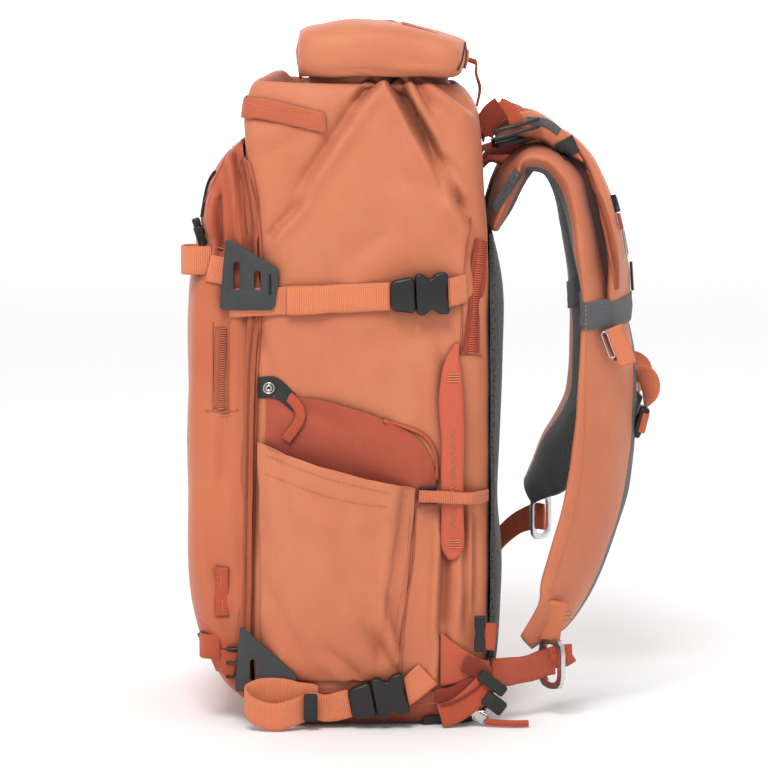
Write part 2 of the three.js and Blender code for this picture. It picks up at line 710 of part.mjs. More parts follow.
// Places a piece that was drawn flat, with x along the strap, on the side of the bag
function placeOnSide(geometry, y, z, off, tilt) {
  const ahead = onSide(y + 4, z, off);
  const right = ahead.sub(onSide(y - 4, z, off)).normalize();
  right.z = Math.tan(tilt);
  return stand(geometry, onSide(y, z, off), right, vec(0, 0, 1));
}

const buckleGap = 0.4;
const upperBuckleAt = 16;
const lowerBuckleAt = -19;
const upperTilt = 0.05;
const lowerTilt = 0.2;

function maleBuckle() {
  const half = buckleTall / 2;
  const corners = [[0, -half * 0.72], [maleLong, -half * 0.9], [maleLong, half * 0.9], [0, half * 0.72]];
  return plate(roundedShape(corners, 4), buckleThick);
}

function femaleBuckle() {
  const half = buckleTall / 2;
  const long = femaleLong;
  const corners = [
    [0, -half], [long * 0.25, -half], [long * 0.45, -half * 0.66], [long * 0.65, -half], [long, -half],
    [long * 0.9, 0], [long, half], [long * 0.65, half], [long * 0.45, half * 0.66], [long * 0.25, half], [0, half],
  ];
  return plate(roundedShape(corners, 3), buckleThick);
}

function compressionStrap(name, at) {
  const { height, buckleAt, tilt, off, anchor } = at;
  const rise = (y) => height + (y - buckleAt) * Math.tan(tilt);
  const female = buckleAt + (maleLong + buckleGap) * Math.cos(tilt);
  const end = female + femaleLong * Math.cos(tilt) - 0.4;
  const middle = off + buckleThick * 0.4;
  const rows = [
    [end, rise(end), middle], [mix(end, anchor.y, 0.3), mix(rise(end), anchor.z, 0.3), middle * 0.9],
    [mix(end, anchor.y, 0.8), mix(rise(end), anchor.z, 0.8), mix(middle, anchor.off, 0.85)],
    [anchor.y, anchor.z, anchor.off],
  ];
  const turns = [tilt, mix(tilt, anchor.tilt, 0.4), anchor.tilt, anchor.tilt];
  const stations = rows.flatMap((row, i) => onSideStations([row], leaning(turns[i]), webThick));
  addPair(`lash_plate_${name}`, lashPlate(at.plateKind, height + at.plateRise), "lashPlate");
  addPair(`compression_web_${name}`, at.web, "webbing");
  addPair(`buckle_male_${name}`, placeOnSide(maleBuckle(), buckleAt, height, off, tilt), "plastic");
  addPair(`buckle_female_${name}`, placeOnSide(femaleBuckle(), female, rise(female), off + 0.3, tilt), "plastic");
  addPair(`anchor_web_${name}`, ribbon(stations, strapWidth, webThick), "webbing");
}

// Upper webbing: behind the plate, a flat fold of spare length, then on to the buckle
function upperWeb() {
  const front = -124;
  const pitch = webThick + seam + 0.3;
  const level = (y) => upperStrapHeight - 6 + (y + 80) * 0.05;
  const behind = (y) => ({
    at: vec(plateFace(upperPlate, upperStrapHeight - 13, y) - seam - webThick / 2, y, level(y)),
    across: vec(0, 0, 1),
  });
  const rows = [
    [-74, level(-74), seam + 0.3], [-50, level(-50), seam + 0.3], [-46.5, level(-46), seam + 0.3 + pitch / 2],
    [-50, level(-50), seam + 0.3 + pitch], [-70, level(-70), seam + 0.3 + pitch],
    [-73.5, level(-72), seam + 0.3 + pitch * 1.5], [-70, level(-70), seam + 0.3 + pitch * 2],
    [-44, level(-44), seam + 0.3 + pitch * 2], [-25, level(-25), 2], [upperBuckleAt - 2, level(14), 5],
    [upperBuckleAt - buckleGap, level(15), 5],
  ];
  const stations = [...[front, -104, -86].map(behind), ...onSideStations(rows, vec(0, 0, 1), webThick)];
  return ribbon(stations, strapWidth, webThick);
}

// Lower webbing: out from under the plate, back over it in a hanging loop of spare length, then on to the
// buckle
function lowerWeb() {
  const under = seam + baseThick + seam;
  const z = lowerStrapHeight;
  const first = [
    [-73, z + 5, under], [-60, z + 5, under], [-51, z + 4, under + 0.2], [-47.5, z + 3, under + 1.4],
    [-51, z + 4, under + 3],
  ];
  const overPlate = [
    [-62, z + 6, 0.8], [-84, z + 11, 1.5], [-102, z + 9, 4], [-111, z + 4, 9], [-104, z - 4, 15],
    [-84, z - 9, 16], [-66, z - 5, 11],
  ];
  const last = [
    [-52, z - 2, under + 7], [-42, z - 4, under + 5.6], [-30, z - 2.2, under + 5],
    [lowerBuckleAt - buckleGap, z, under + 4.6],
  ];
  const outOfPlate = overPlate.map(([y, up, off]) => ({
    at: vec(plateFace(lowerPlate, z, y) + plateThick + off + webThick / 2, y, up), across: vec(0, 0, 1),
  }));
  return ribbon([
    ...onSideStations(first, vec(0, 0, 1), webThick), ...outOfPlate,
    ...onSideStations(last.slice(0, 2), vec(0, 0, 1), webThick),
    ...onSideStations(last.slice(2), leaning(lowerTilt), webThick),
  ], strapWidth, webThick);
}

// Back panel: foam over the shoulders and the hips, with a channel along the spine. out is a share of the
// foam's thickness.
const panelRows = [
  { up: panelLow / bagHeight, out: 0.3 }, { up: 0.11, out: 0.55 }, { up: 0.16, out: 0.85 },
  { up: 0.22, out: 0.98 }, { up: 0.28, out: 0.9 }, { up: 0.33, out: 0.5 }, { up: 0.38, out: 0.42 },
  { up: 0.46, out: 0.65 }, { up: 0.54, out: 0.88 }, { up: 0.62, out: 1 }, { up: 0.68, out: 1 },
  { up: 0.73, out: 0.62 }, { up: panelHigh / bagHeight, out: 0.2 },
];

function backPanel() {
  const spread = [-1, -0.93, -0.7, -0.4, -0.14, 0, 0.14, 0.4, 0.7, 0.93, 1];
  const row = (entry, foam) => spread.map((share) => {
    const z = entry.up * bagHeight;
    const x = share * panelHalf * (entry.up > 0.7 ? 0.86 : 1);
    const rounded = (1 - Math.abs(share) ** 5) ** 0.5;
    const channel = 1 - 0.6 * Math.exp(-((x / channelHalf) ** 2));
    const thick = panelHem + (panelPad - panelHem) * entry.out * rounded * channel;
    return vec(x, sectionOf(rowAt(z), seam).back + (foam ? thick : 0), z);
  });
  return slab(panelRows.map((entry) => row(entry, true)), panelRows.map((entry) => row(entry, false)));
}

// Shoulder straps. side, out and up are shares of the strap's spread, reach and shoulder height, twist is
// in degrees, wide is a share of the pad's width, gap is between the pad and the layer on top, in pad
// thicknesses, and layer is a share of that layer's thickness (0 where there is none).
const upperStrap = [
  { side: 0.55, out: 0.024, up: 0.876, twist: 0, wide: 0.85, gap: 0, layer: 0 },
  { side: 0.56, out: 0.12, up: 0.925, twist: 0, wide: 0.95, gap: 0, layer: 0 },
  { side: 0.58, out: 0.22, up: 0.972, twist: 0, wide: 1, gap: 1.2, layer: 0 },
  { side: 0.62, out: 0.355, up: 1, twist: 0, wide: 1, gap: 1.15, layer: 0.35 },
  { side: 0.68, out: 0.56, up: 0.988, twist: 0, wide: 1, gap: 0.85, layer: 0.6 },
  { side: 0.73, out: 0.71, up: 0.948, twist: 3, wide: 1, gap: 0.5, layer: 0.95 },
  { side: 0.78, out: 0.8, up: 0.881, twist: 7, wide: 1, gap: 0.6, layer: 1 },
  { side: 0.8, out: 0.888, up: 0.808, twist: 13, wide: 1, gap: 0.5, layer: 1 },
  { side: 0.82, out: 0.963, up: 0.744, twist: 20, wide: 1, gap: 0.06, layer: 0.85 },
];
const rightStrap = [
  ...upperStrap,
  { side: 0.84, out: 1.01, up: 0.655, twist: 31, wide: 1, gap: 0.05, layer: 0.4 },
  { side: 0.88, out: 1.01, up: 0.548, twist: 35, wide: 1, gap: 0.05, layer: 0.3 },
  { side: 0.92, out: 0.975, up: 0.468, twist: 36, wide: 1, gap: 0, layer: 0 },
  { side: 0.96, out: 0.915, up: 0.393, twist: 36, wide: 1, gap: 0, layer: 0 },
  { side: 1, out: 0.82, up: 0.325, twist: 35, wide: 1, gap: 0, layer: 0 },
  { side: 1.05, out: 0.695, up: 0.252, twist: 34, wide: 0.95, gap: 0, layer: 0 },
  { side: 1.1, out: 0.56, up: 0.188, twist: 30, wide: 0.85, gap: 0, layer: 0 },
  { side: 1.13, out: 0.45, up: 0.163, twist: 30, wide: 0.62, gap: 0, layer: 0 },
];
const leftStrap = [
  ...upperStrap,
  { side: 0.84, out: 1.02, up: 0.655, twist: 27, wide: 1, gap: 0.05, layer: 0.4 },
  { side: 0.88, out: 1.03, up: 0.57, twist: 30, wide: 1, gap: 0.05, layer: 0.3 },
  { side: 0.92, out: 0.98, up: 0.515, twist: 30, wide: 1, gap: 0, layer: 0 },
  { side: 0.96, out: 0.86, up: 0.465, twist: 30, wide: 1, gap: 0, layer: 0 },
  { side: 1, out: 0.73, up: 0.43, twist: 30, wide: 0.95, gap: 0, layer: 0 },
  { side: 1.05, out: 0.61, up: 0.4, twist: 30, wide: 0.8, gap: 0, layer: 0 },
  { side: 1.1, out: 0.53, up: 0.38, twist: 30, wide: 0.6, gap: 0, layer: 0 },
];

// The strap's place, its direction along, its width and the way out of its outer face
function strapFrame(rows, t) {
  const curve = new THREE.CatmullRomCurve3(rows.map((row) => (
    vec(row.side * strapSpread, bagBack + row.out * strapReach, row.up * shoulderHeight))));
  const row = readRow(rows.map((entry, i) => ({ ...entry, index: i / (rows.length - 1) })), "index", t);
  const at = curve.getPoint(t);
  const along = curve.getTangent(t);
  const flatOut = vec(0, -along.z, along.y).normalize();
  const angle = (row.twist * Math.PI) / 180;
  const out = flatOut.clone().multiplyScalar(Math.cos(angle)).add(vec(Math.sin(angle), 0, 0));
  const across = out.clone().cross(along).normalize();
  out.copy(along.clone().cross(across)).normalize();
  return { at, along, across, out, row };
}

// Place of a strap's cross section: across its width and out from the middle of its pad
const strapPoint = (frame, across, out) => frame.at.clone()
  .addScaledVector(frame.across, across).addScaledVector(frame.out, out);

function shoulderPad(rows) {
  const count = (rows.length - 1) * 1.25;
  const outline = [[-1, 0], [-0.88, -1], [0, -1.04], [0.88, -1], [1, 0], [0.88, 1], [0, 1.04], [-0.88, 1]];
  return loft(steps(Math.round(count)).map((t) => {
    const frame = strapFrame(rows, t);
    const soft = mix(0.55, 1, Math.min(1, t * 12, (1 - t) * 10));
    return outline.map(([across, out]) => (
      strapPoint(frame, (across * frame.row.wide * padWidth) / 2, (out * soft * padThick) / 2)));
  }));
}

function overlayRange(rows) {
  const first = rows.findIndex((row) => row.layer > 0);
  const last = rows.findLastIndex((row) => row.layer > 0);
  return [(first + 0.45) / (rows.length - 1), last / (rows.length - 1)];
}

function strapPocket(rows) {
  const [start, end] = overlayRange(rows);
  const outline = [[-1, 0.15], [-0.94, 0], [0, 0], [0.94, 0], [1, 0.15], [0.8, 1], [0, 1.02], [-0.8, 1]];
  return loft(steps(12).map((share) => {
    const frame = strapFrame(rows, mix(start, end, share));
    const base = (padThick / 2) * 1.05 + seam + frame.row.gap * padThick;
    const wide = overlayWidth * Math.min(1, 0.7 + share * 3);
    return outline.map(([across, out]) => (
      strapPoint(frame, (across * wide) / 2, base + out * frame.row.layer * overlayThick)));
  }));
}

// The sleeve that holds the strap pocket down on the pad
function strapBand(rows) {
  const bandAt = 8.35 / (rows.length - 1);
  const reach = sleeveTall / 2 / new THREE.CatmullRomCurve3(rows.map((row) => (
    vec(row.side * strapSpread, row.out * strapReach, row.up * shoulderHeight)))).getLength();
  const ring = (t, grow) => {
    const frame = strapFrame(rows, t);
    const low = -padThick * 0.52 - seam - 0.5 - grow;
    const seat = (padThick / 2) * 1.05 + seam + frame.row.gap * padThick;
    const high = seat + frame.row.layer * overlayThick * 1.02 + seam + grow + 0.3;
    const side = padWidth / 2 + seam + grow;
    const shoulder = overlayWidth / 2 + seam + grow;
    const corner = [[-side, low], [0, low], [side, low], [side, padThick / 2 + grow], [shoulder, high], [0, high],
      [-shoulder, high], [-side, padThick / 2 + grow]];
    return corner.map(([across, out]) => strapPoint(frame, across, out));
  };
  const ends = [bandAt - reach, bandAt, bandAt + reach];
  const outer = ends.map((t) => ring(t, sleeveThick));
  const inner = ends.map((t) => ring(t, 0)).reverse();
  return loft([...outer, ...inner], "joined");
}

// Load lifter: a ladder lock over the strap's arc, with its webbing from the bag and back to it
const lockTilt = 0.23;
const lockLong = 40;
const lockThick = 4.5;
const lockSlot = 9;

function lifterPlace() {
  const top = strapFrame(rightStrap, 3 / (rightStrap.length - 1)).at;
  return vec(top.x, top.y - 12, top.z + padThick / 2 + 7);
}

function ladderLock() {
  const half = strapWidth / 2;
  const wide = half + 4;
  const long = lockLong / 2;
  const shape = roundedShape([[-wide, -long], [wide, -long], [wide, long], [-wide, long]], 4);
  const hole = new THREE.Path();
  hole.moveTo(-half - 0.8, 0);
  hole.lineTo(-half - 0.8, lockSlot);
  hole.lineTo(half + 0.8, lockSlot);
  hole.lineTo(half + 0.8, 0);
  shape.holes.push(hole);
  const geometry = plate(shape, lockThick);
  geometry.translate(0, 0, -lockThick / 2);
  geometry.applyMatrix4(new THREE.Matrix4().makeBasis(
    vec(1, 0, 0), vec(0, 1, lockTilt).normalize(), vec(0, -lockTilt, 1).normalize()));
  const at = lifterPlace();
  geometry.translate(at.x, at.y, at.z);
  return geometry;
}

function lifterWeb() {
  const at = lifterPlace();
  const back = (z) => sectionOf(rowAt(z), 0).back + seam + webThick / 2;
  const low = at.z - 10;
  const high = at.z + 8;
  const slot = at.y + lockSlot - 2.4;
  const points = [
    [back(low - 14), low - 14], [back(low - 3) + 1, low - 2], [at.y - 20, low + 0.5], [at.y - 9, low + 2.5],
    [slot - 3.5, low + 4.5], [slot, at.z + 1.5], [slot + 2.5, at.z + 11], [slot + 0.5, at.z + 20],
    [at.y - 9, at.z + 27], [at.y - 24, at.z + 23], [back(high) + 1, at.z + 14], [back(high), high],
    [back(high - 9), high - 9],
  ];
  const stations = points.map(([y, z]) => ({ at: vec(at.x, y, z), across: vec(-1, 0, 0) }));
  return ribbon(stations, strapWidth, webThick);
}

function haulLoop() {
  const back = (z) => sectionOf(rowAt(z), 0).back + seam + haulThick / 2;
  const out = [[0, 0], [0.2, 0.12], [0.6, 0.22], [0.9, 0.1], [1, -0.1], [0.88, -0.28], [0.5, -0.38], [0.12, -0.36],
    [0, -0.5]];
  const stations = out.map(([reach, up]) => {
    const z = haulHeight + up * haulReach;
    return { at: vec(0, back(z) + reach * haulReach, z), across: vec(-1, 0, 0) };
  });
  return ribbon(stations, haulWidth, haulThick);
}

// Sternum strap: a loop off the inner edge of each shoulder strap, and half a buckle on its end
const sternumIndex = 9.4; // place along the strap, counted in rows of its table
const sternumLoop = 22;
const sternumWidth = 20;
const sternumBuckle = 9; // thickness

function sternumParts(rows) {
  const frame = strapFrame(rows, sternumIndex / (rows.length - 1));
  const start = strapPoint(frame, (frame.row.wide * padWidth) / 2 + seam + 0.8, 0);
  start.x -= sternumWidth / 2 - 2;
  const loop = [[0, 0], [0.5, 0.05], [0.95, -0.3], [1, -0.85], [0.8, -1.4]];
  const stations = loop.map(([out, up]) => (
    { at: start.clone().add(vec(0, out * sternumLoop, up * sternumLoop)), across: vec(-1, 0, 0) }));
  const web = ribbon(stations, sternumWidth, webThick);
  const half = sternumWidth / 2 + 2.5;
  const corners = [[0, -half], [20, -half], [29, -half * 0.6], [29, half * 0.6], [20, half], [0, half]];
  const buckle = plate(roundedShape(corners, 3), sternumBuckle);
  buckle.translate(0, 0, -sternumBuckle / 2);
  const end = stations[stations.length - 1].at;
  const down = end.clone().sub(stations[stations.length - 2].at).normalize();
  buckle.applyMatrix4(new THREE.Matrix4().makeBasis(down, vec(1, 0, 0), down.clone().cross(vec(1, 0, 0))));
  buckle.translate(end.x, end.y + down.y * buckleGap, end.z + down.z * buckleGap);
  return { web, buckle };
}

// Lower end of each strap, from the wing's tip to the ring: out to the side, behind the pack's middle and above
// the ground. The far strap is adjusted shorter, so its ring hangs higher.
const tailReach = 9; // the web's end past the ring's bar
const lowerStraps = {
  right: {
    ring: { side: 104, back: 160, up: 48 },
    bends: [{ side: 125, back: 122, up: 44 }, { side: 112, back: 140, up: 45 }],
  },
  left: {
    ring: { side: 106, back: 159, up: 151 },
    bends: [
      { side: 138, back: 110, up: 75 }, { side: 133, back: 114, up: 108 }, { side: 119, back: 130, up: 136 },
    ],
  },
};

// Lower end of a strap: a metal ring, the webbing through it and the wing on the bag's bottom corner
const wingRoot = 60; // where the wing leaves the side, behind the middle
const wingTip = vec(139, 105, 48);
const webDouble = 3.2;
const ringAxis = vec(0.8, 0.6, 0); // the ring stands upright, and this is its other axis

function ringBuckle(at) {
  const outer = roundedShape([[-ringWide / 2, -ringTall / 2], [ringWide / 2, -ringTall / 2],
    [ringWide / 2, ringTall / 2], [-ringWide / 2, ringTall / 2]], 13);
  const holeX = ringWide / 2 - ringBar;
  const holeY = ringTall / 2 - ringBar;
  outer.holes.push(roundedShape([[-holeX, -holeY], [-holeX, holeY], [holeX, holeY], [holeX, -holeY]], 8));
  const geometry = plate(outer, ringThick, 3);
  geometry.translate(0, 0, -ringThick / 2);
  return stand(geometry, at, ringAxis, vec(0, 0, 1));
}

// Middle of the webbing where it bears on the ring's inner bar, some way past it
function throughRing(ring, past) {
  const aside = -(ringWide / 2 - ringBar - webDouble / 2 - 1.1);
  return ring.clone().addScaledVector(ringAxis, aside).addScaledVector(vec(-ringAxis.y, ringAxis.x, 0), past);
}

function lowerStrapWeb(points) {
  const curve = new THREE.CatmullRomCurve3(points);
  return ribbon(steps(10).map((t) => ({ at: curve.getPoint(t), across: vec(0, 0, 1) })), strapWidth, webDouble);
}

function hipWing() {
  const rows = [
    { y: wingRoot, low: 0.72, high: 1.75, off: seam }, { y: 74, low: 0.78, high: 1.5, off: seam + 0.3 },
    { y: 88, low: 0.8, high: 1.25, off: seam + 7 },
  ];
  const face = (off) => [
    ...rows.map((row) => [row.high, 1, row.low].map((share) => onSide(row.y, wingTip.z * share, row.off + off))),
    [1.17, 1, 0.85].map((share) => vec(wingTip.x + off, wingTip.y - 1, wingTip.z * share)),
  ];
  return slab(face(1.8), face(0));
}

add("main_bag", mainBag(), "cloth");
add("roll_top", rollTop(), "cloth");
add("roll_lap", rollLap(), "cloth");
add("roll_strap", rollStrap(), "webbing");
add("front_band", frontBand(), "deepCloth");
add("front_pocket", frontPocket(), "cloth");
add("base_panel", basePanel(), "deepCloth");
addPair("corner_foot_front", cornerFoot("frontCorner"), "rubber");
addPair("corner_foot_back", cornerFoot("backCorner"), "rubber");
addPair("side_pocket", sidePocket(), "cloth");
addPair("inner_pocket", innerPocket(), "deepCloth");
add("side_handle", sideHandle(), "deepCloth");
add("pocket_strap_right", pocketStrap(seam + handleArch + handleThick + seam + 0.6), "webbing");
add("pocket_strap_left", mirrored(pocketStrap(seam + 2)), "webbing");
compressionStrap("upper", {
  plateKind: upperPlate, plateRise: 0, height: upperStrapHeight - 1, buckleAt: upperBuckleAt, tilt: upperTilt,
  off: seam + 0.4, web: upperWeb(), anchor: { y: 82, z: upperStrapHeight + 5, off: seam, tilt: 0.05 },
});
compressionStrap("lower", {
  plateKind: lowerPlate, plateRise: 0, height: lowerStrapHeight, buckleAt: lowerBuckleAt, tilt: lowerTilt,
  off: seam + baseThick + seam + 0.6, web: lowerWeb(),
  anchor: { y: 49, z: lowerStrapHeight + 25, off: seam + 1.8, tilt: 0.75 },
});
add("back_panel", backPanel(), "mesh");
add("haul_loop", haulLoop(), "webbing");
for (const [side, rows] of [["right", rightStrap], ["left", leftStrap]]) {
  const turn = side === "right" ? (geometry) => geometry : mirrored;
  const sternum = sternumParts(rows);
  add(`shoulder_pad_${side}`, turn(shoulderPad(rows)), "cloth");
  add(`strap_pocket_${side}`, turn(strapPocket(rows)), "cloth");
  add(`strap_band_${side}`, turn(strapBand(rows)), "sleeve");
  add(`lifter_web_${side}`, turn(lifterWeb()), "webbing");
  add(`ladder_lock_${side}`, turn(ladderLock()), "plastic");
  add(`sternum_web_${side}`, turn(sternum.web), "webbing");
  add(`sternum_buckle_${side}`, turn(sternum.buckle), "plastic");
  add(`hip_wing_${side}`, turn(hipWing()), "deepCloth");
}
const tip = wingTip.clone().add(vec(0.9, 0.1, -1));
for (const [side, row] of Object.entries(lowerStraps)) {
  const turn = side === "right" ? (geometry) => geometry : mirrored;
  const ring = vec(row.ring.side, row.ring.back, row.ring.up);
  const route = row.bends.map((bend) => vec(bend.side, bend.back, bend.up));
  add(`ring_buckle_${side}`, turn(ringBuckle(ring)), "aluminium");
  add(`lower_web_${side}`, turn(lowerStrapWeb([tip, ...route, throughRing(ring, 0), throughRing(ring, tailReach)])),
    "webbing");
}

export default pack;
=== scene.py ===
# %% [markdown]
# # Dressing a camera backpack
# The pack comes in as sixty rigid solids with flat facets: a bag, its pockets, webbing, buckles and a
# harness. This lesson turns each of them into what it is on the real pack, and adds the small trim that is
# too thin for a solid. Everything stays in the place that the solids give, so no fitting is needed.

# %% Load the solids and keep their box
import json
import math

import bmesh
import bpy
import numpy as np
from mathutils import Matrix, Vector
from mathutils.bvhtree import BVHTree


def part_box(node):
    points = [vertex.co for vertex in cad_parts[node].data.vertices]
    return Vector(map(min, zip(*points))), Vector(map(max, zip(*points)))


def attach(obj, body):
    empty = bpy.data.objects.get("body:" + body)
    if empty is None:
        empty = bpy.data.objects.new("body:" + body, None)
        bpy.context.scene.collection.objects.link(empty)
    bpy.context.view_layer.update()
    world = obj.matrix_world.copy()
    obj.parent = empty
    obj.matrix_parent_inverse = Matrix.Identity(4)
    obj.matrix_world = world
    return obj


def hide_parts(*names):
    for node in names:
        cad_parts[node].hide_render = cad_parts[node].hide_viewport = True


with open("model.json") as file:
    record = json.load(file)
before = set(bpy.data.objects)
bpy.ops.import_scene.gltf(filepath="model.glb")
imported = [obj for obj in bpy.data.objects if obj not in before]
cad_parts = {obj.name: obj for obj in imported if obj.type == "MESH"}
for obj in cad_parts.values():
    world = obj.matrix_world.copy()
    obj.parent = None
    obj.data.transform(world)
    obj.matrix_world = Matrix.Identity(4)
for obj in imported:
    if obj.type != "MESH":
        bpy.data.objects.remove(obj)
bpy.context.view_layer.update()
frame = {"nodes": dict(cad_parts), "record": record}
slot_of = {part["node"]: part["material_slot"] for part in frame["record"]["subparts"]}
SIDES = ((1, "right"), (-1, "left"))  # the near side and the far side: the sign of x, and the word in names

# %% [markdown]
# ## The camera comes first
# The photograph looks at the pack's side from a little above, through a long lens about three metres away.
# At the near side panel one pixel is 0.87 mm. The camera is made from those numbers, and the same numbers
# give a way back: `pixel_ray` is the line of sight through a pixel, which later puts each seam where it is
# seen.

# %% Camera
FRAME_PIXELS = 768
PIXEL_MM = 0.87  # at the near side panel
NEAR_X = 150  # that panel, from the middle of the pack
CENTRE_Y, CENTRE_Z = 10.4, 302.8  # what the middle of the picture shows there
DISTANCE, ELEVATION = 3000, math.radians(6)

back = Vector((math.cos(ELEVATION), 0, math.sin(ELEVATION)))
aim = Vector((NEAR_X, CENTRE_Y, CENTRE_Z))
eye = aim + back * DISTANCE
picture_right = Vector((0, 1, 0))
picture_up = back.cross(picture_right)

camera = bpy.data.objects.new("camera", bpy.data.cameras.new("camera"))
bpy.context.scene.collection.objects.link(camera)
camera.location = eye * 0.001
camera.rotation_euler = (-back).to_track_quat("-Z", "Y").to_euler()
camera.data.sensor_width = 36
camera.data.lens = 36 * DISTANCE / (PIXEL_MM * FRAME_PIXELS)
camera.data.clip_end = 100
bpy.context.scene.camera = camera


def pixel_ray(px, py):
    """Line of sight through a pixel of the photograph, in millimetres"""
    half = FRAME_PIXELS / 2
    target = aim + picture_right * (px - half) * PIXEL_MM + picture_up * (half - py) * PIXEL_MM
    return eye, (target - eye).normalized()


def side_place(px, py):
    """Place on the near side's plane behind a pixel, as y and z in millimetres"""
    start, way = pixel_ray(px, py)
    hit = start + way * ((NEAR_X - start.x) / way.x)
    return hit.y, hit.z


print("lens", round(camera.data.lens, 1), "mm")

# %% [markdown]
# ## Light and floor
# A pack is photographed in a light tent: broad soft lamps, a pale floor and a white screen behind. The key
# lamp stands high on the camera's side, so the side panel is bright and the pocket's front falls off into a
# deeper orange.

# %% Lamps, floor and view
TENT_LIGHT = 0.64  # light that comes from everywhere
FLOOR_HALF = 30  # metres
FLOOR_GAP = 0.0005  # floor below the pack, in metres
SCREEN_X, SCREEN_HALF = -9, 12
SCREEN_LOW, SCREEN_HIGH = -1, 9

scene = bpy.context.scene
scene.view_settings.view_transform = "Standard"
world = bpy.data.worlds.new("tent")
scene.world = world
world.use_nodes = True
world.node_tree.nodes["Background"].inputs["Color"].default_value = (1, 1, 1, 1)
world.node_tree.nodes["Background"].inputs["Strength"].default_value = TENT_LIGHT


def lamp(name, place, target, size, power):
    """A broad square lamp that points at a target, both in metres"""
    data = bpy.data.lights.new(name, "AREA")
    data.shape, data.size, data.energy = "SQUARE", size, power
    made = bpy.data.objects.new(name, data)
    scene.collection.objects.link(made)
    made.location = place
    made.rotation_euler = (Vector(target) - Vector(place)).to_track_quat("-Z", "Y").to_euler()


lamp("key", (2.2, -0.5, 3.0), (0, 0, 0.3), 1.3, 74)
lamp("front", (1.2, -2.6, 1.6), (0, -0.1, 0.3), 1.4, 2)
lamp("behind", (-1.8, 1.8, 2.2), (0, 0, 0.3), 2, 8)


def backdrop(name, corners):
    """A flat sheet through four corners in metres, which isn't part of the pack"""
    mesh = bpy.data.meshes.new(name)
    mesh.from_pydata(corners, [], [(0, 1, 2, 3)])
    made = bpy.data.objects.new(name, mesh)
    scene.collection.objects.link(made)
    return made


floor = backdrop("floor", [(-FLOOR_HALF, -FLOOR_HALF, 0), (FLOOR_HALF, -FLOOR_HALF, 0),
                           (FLOOR_HALF, FLOOR_HALF, 0), (-FLOOR_HALF, FLOOR_HALF, 0)])
floor.location.z = -FLOOR_GAP
screen = backdrop("screen", [(SCREEN_X, -SCREEN_HALF, SCREEN_LOW), (SCREEN_X, SCREEN_HALF, SCREEN_LOW),
                             (SCREEN_X, SCREEN_HALF, SCREEN_HIGH), (SCREEN_X, -SCREEN_HALF, SCREEN_HIGH)])
print(len(bpy.data.lights), "lamps, a floor and a white screen")

# %% [markdown]
# ## Shader maths as sums
# A finish is a small calculation for each point of a surface. Blender draws it as a tree of nodes, which is
# slow to read. Here one class wraps a socket, so that `1 - mask` or `wave * 0.3` adds the Math nodes, and
# the class `Finish` has one method that makes any other node.

# %% Sums of sockets
class Link:
    """One output of a shader node, which can stand in a sum like a number"""

    def __init__(self, finish, socket):
        self.finish = finish
        self.socket = socket

    def __add__(self, other):
        return self.finish.math("ADD", self, other)

    def __sub__(self, other):
        return self.finish.math("SUBTRACT", self, other)

    def __rsub__(self, other):
        return self.finish.math("SUBTRACT", other, self)

    def __mul__(self, other):
        return self.finish.math("MULTIPLY", self, other)

    def __pow__(self, other):
        return self.finish.math("POWER", self, other)

    __radd__ = __add__
    __rmul__ = __mul__

    def sine(self):
        return self.finish.math("SINE", self)

    def size(self):
        return self.finish.math("ABSOLUTE", self)

    def between(self, low, high):
        """0 below low, 1 above high and straight in between"""
        sockets = {"Value": self, "From Min": low, "From Max": high}
        return self.finish.node("ShaderNodeMapRange", {"clamp": True}, sockets)


print("sums of sockets are ready")

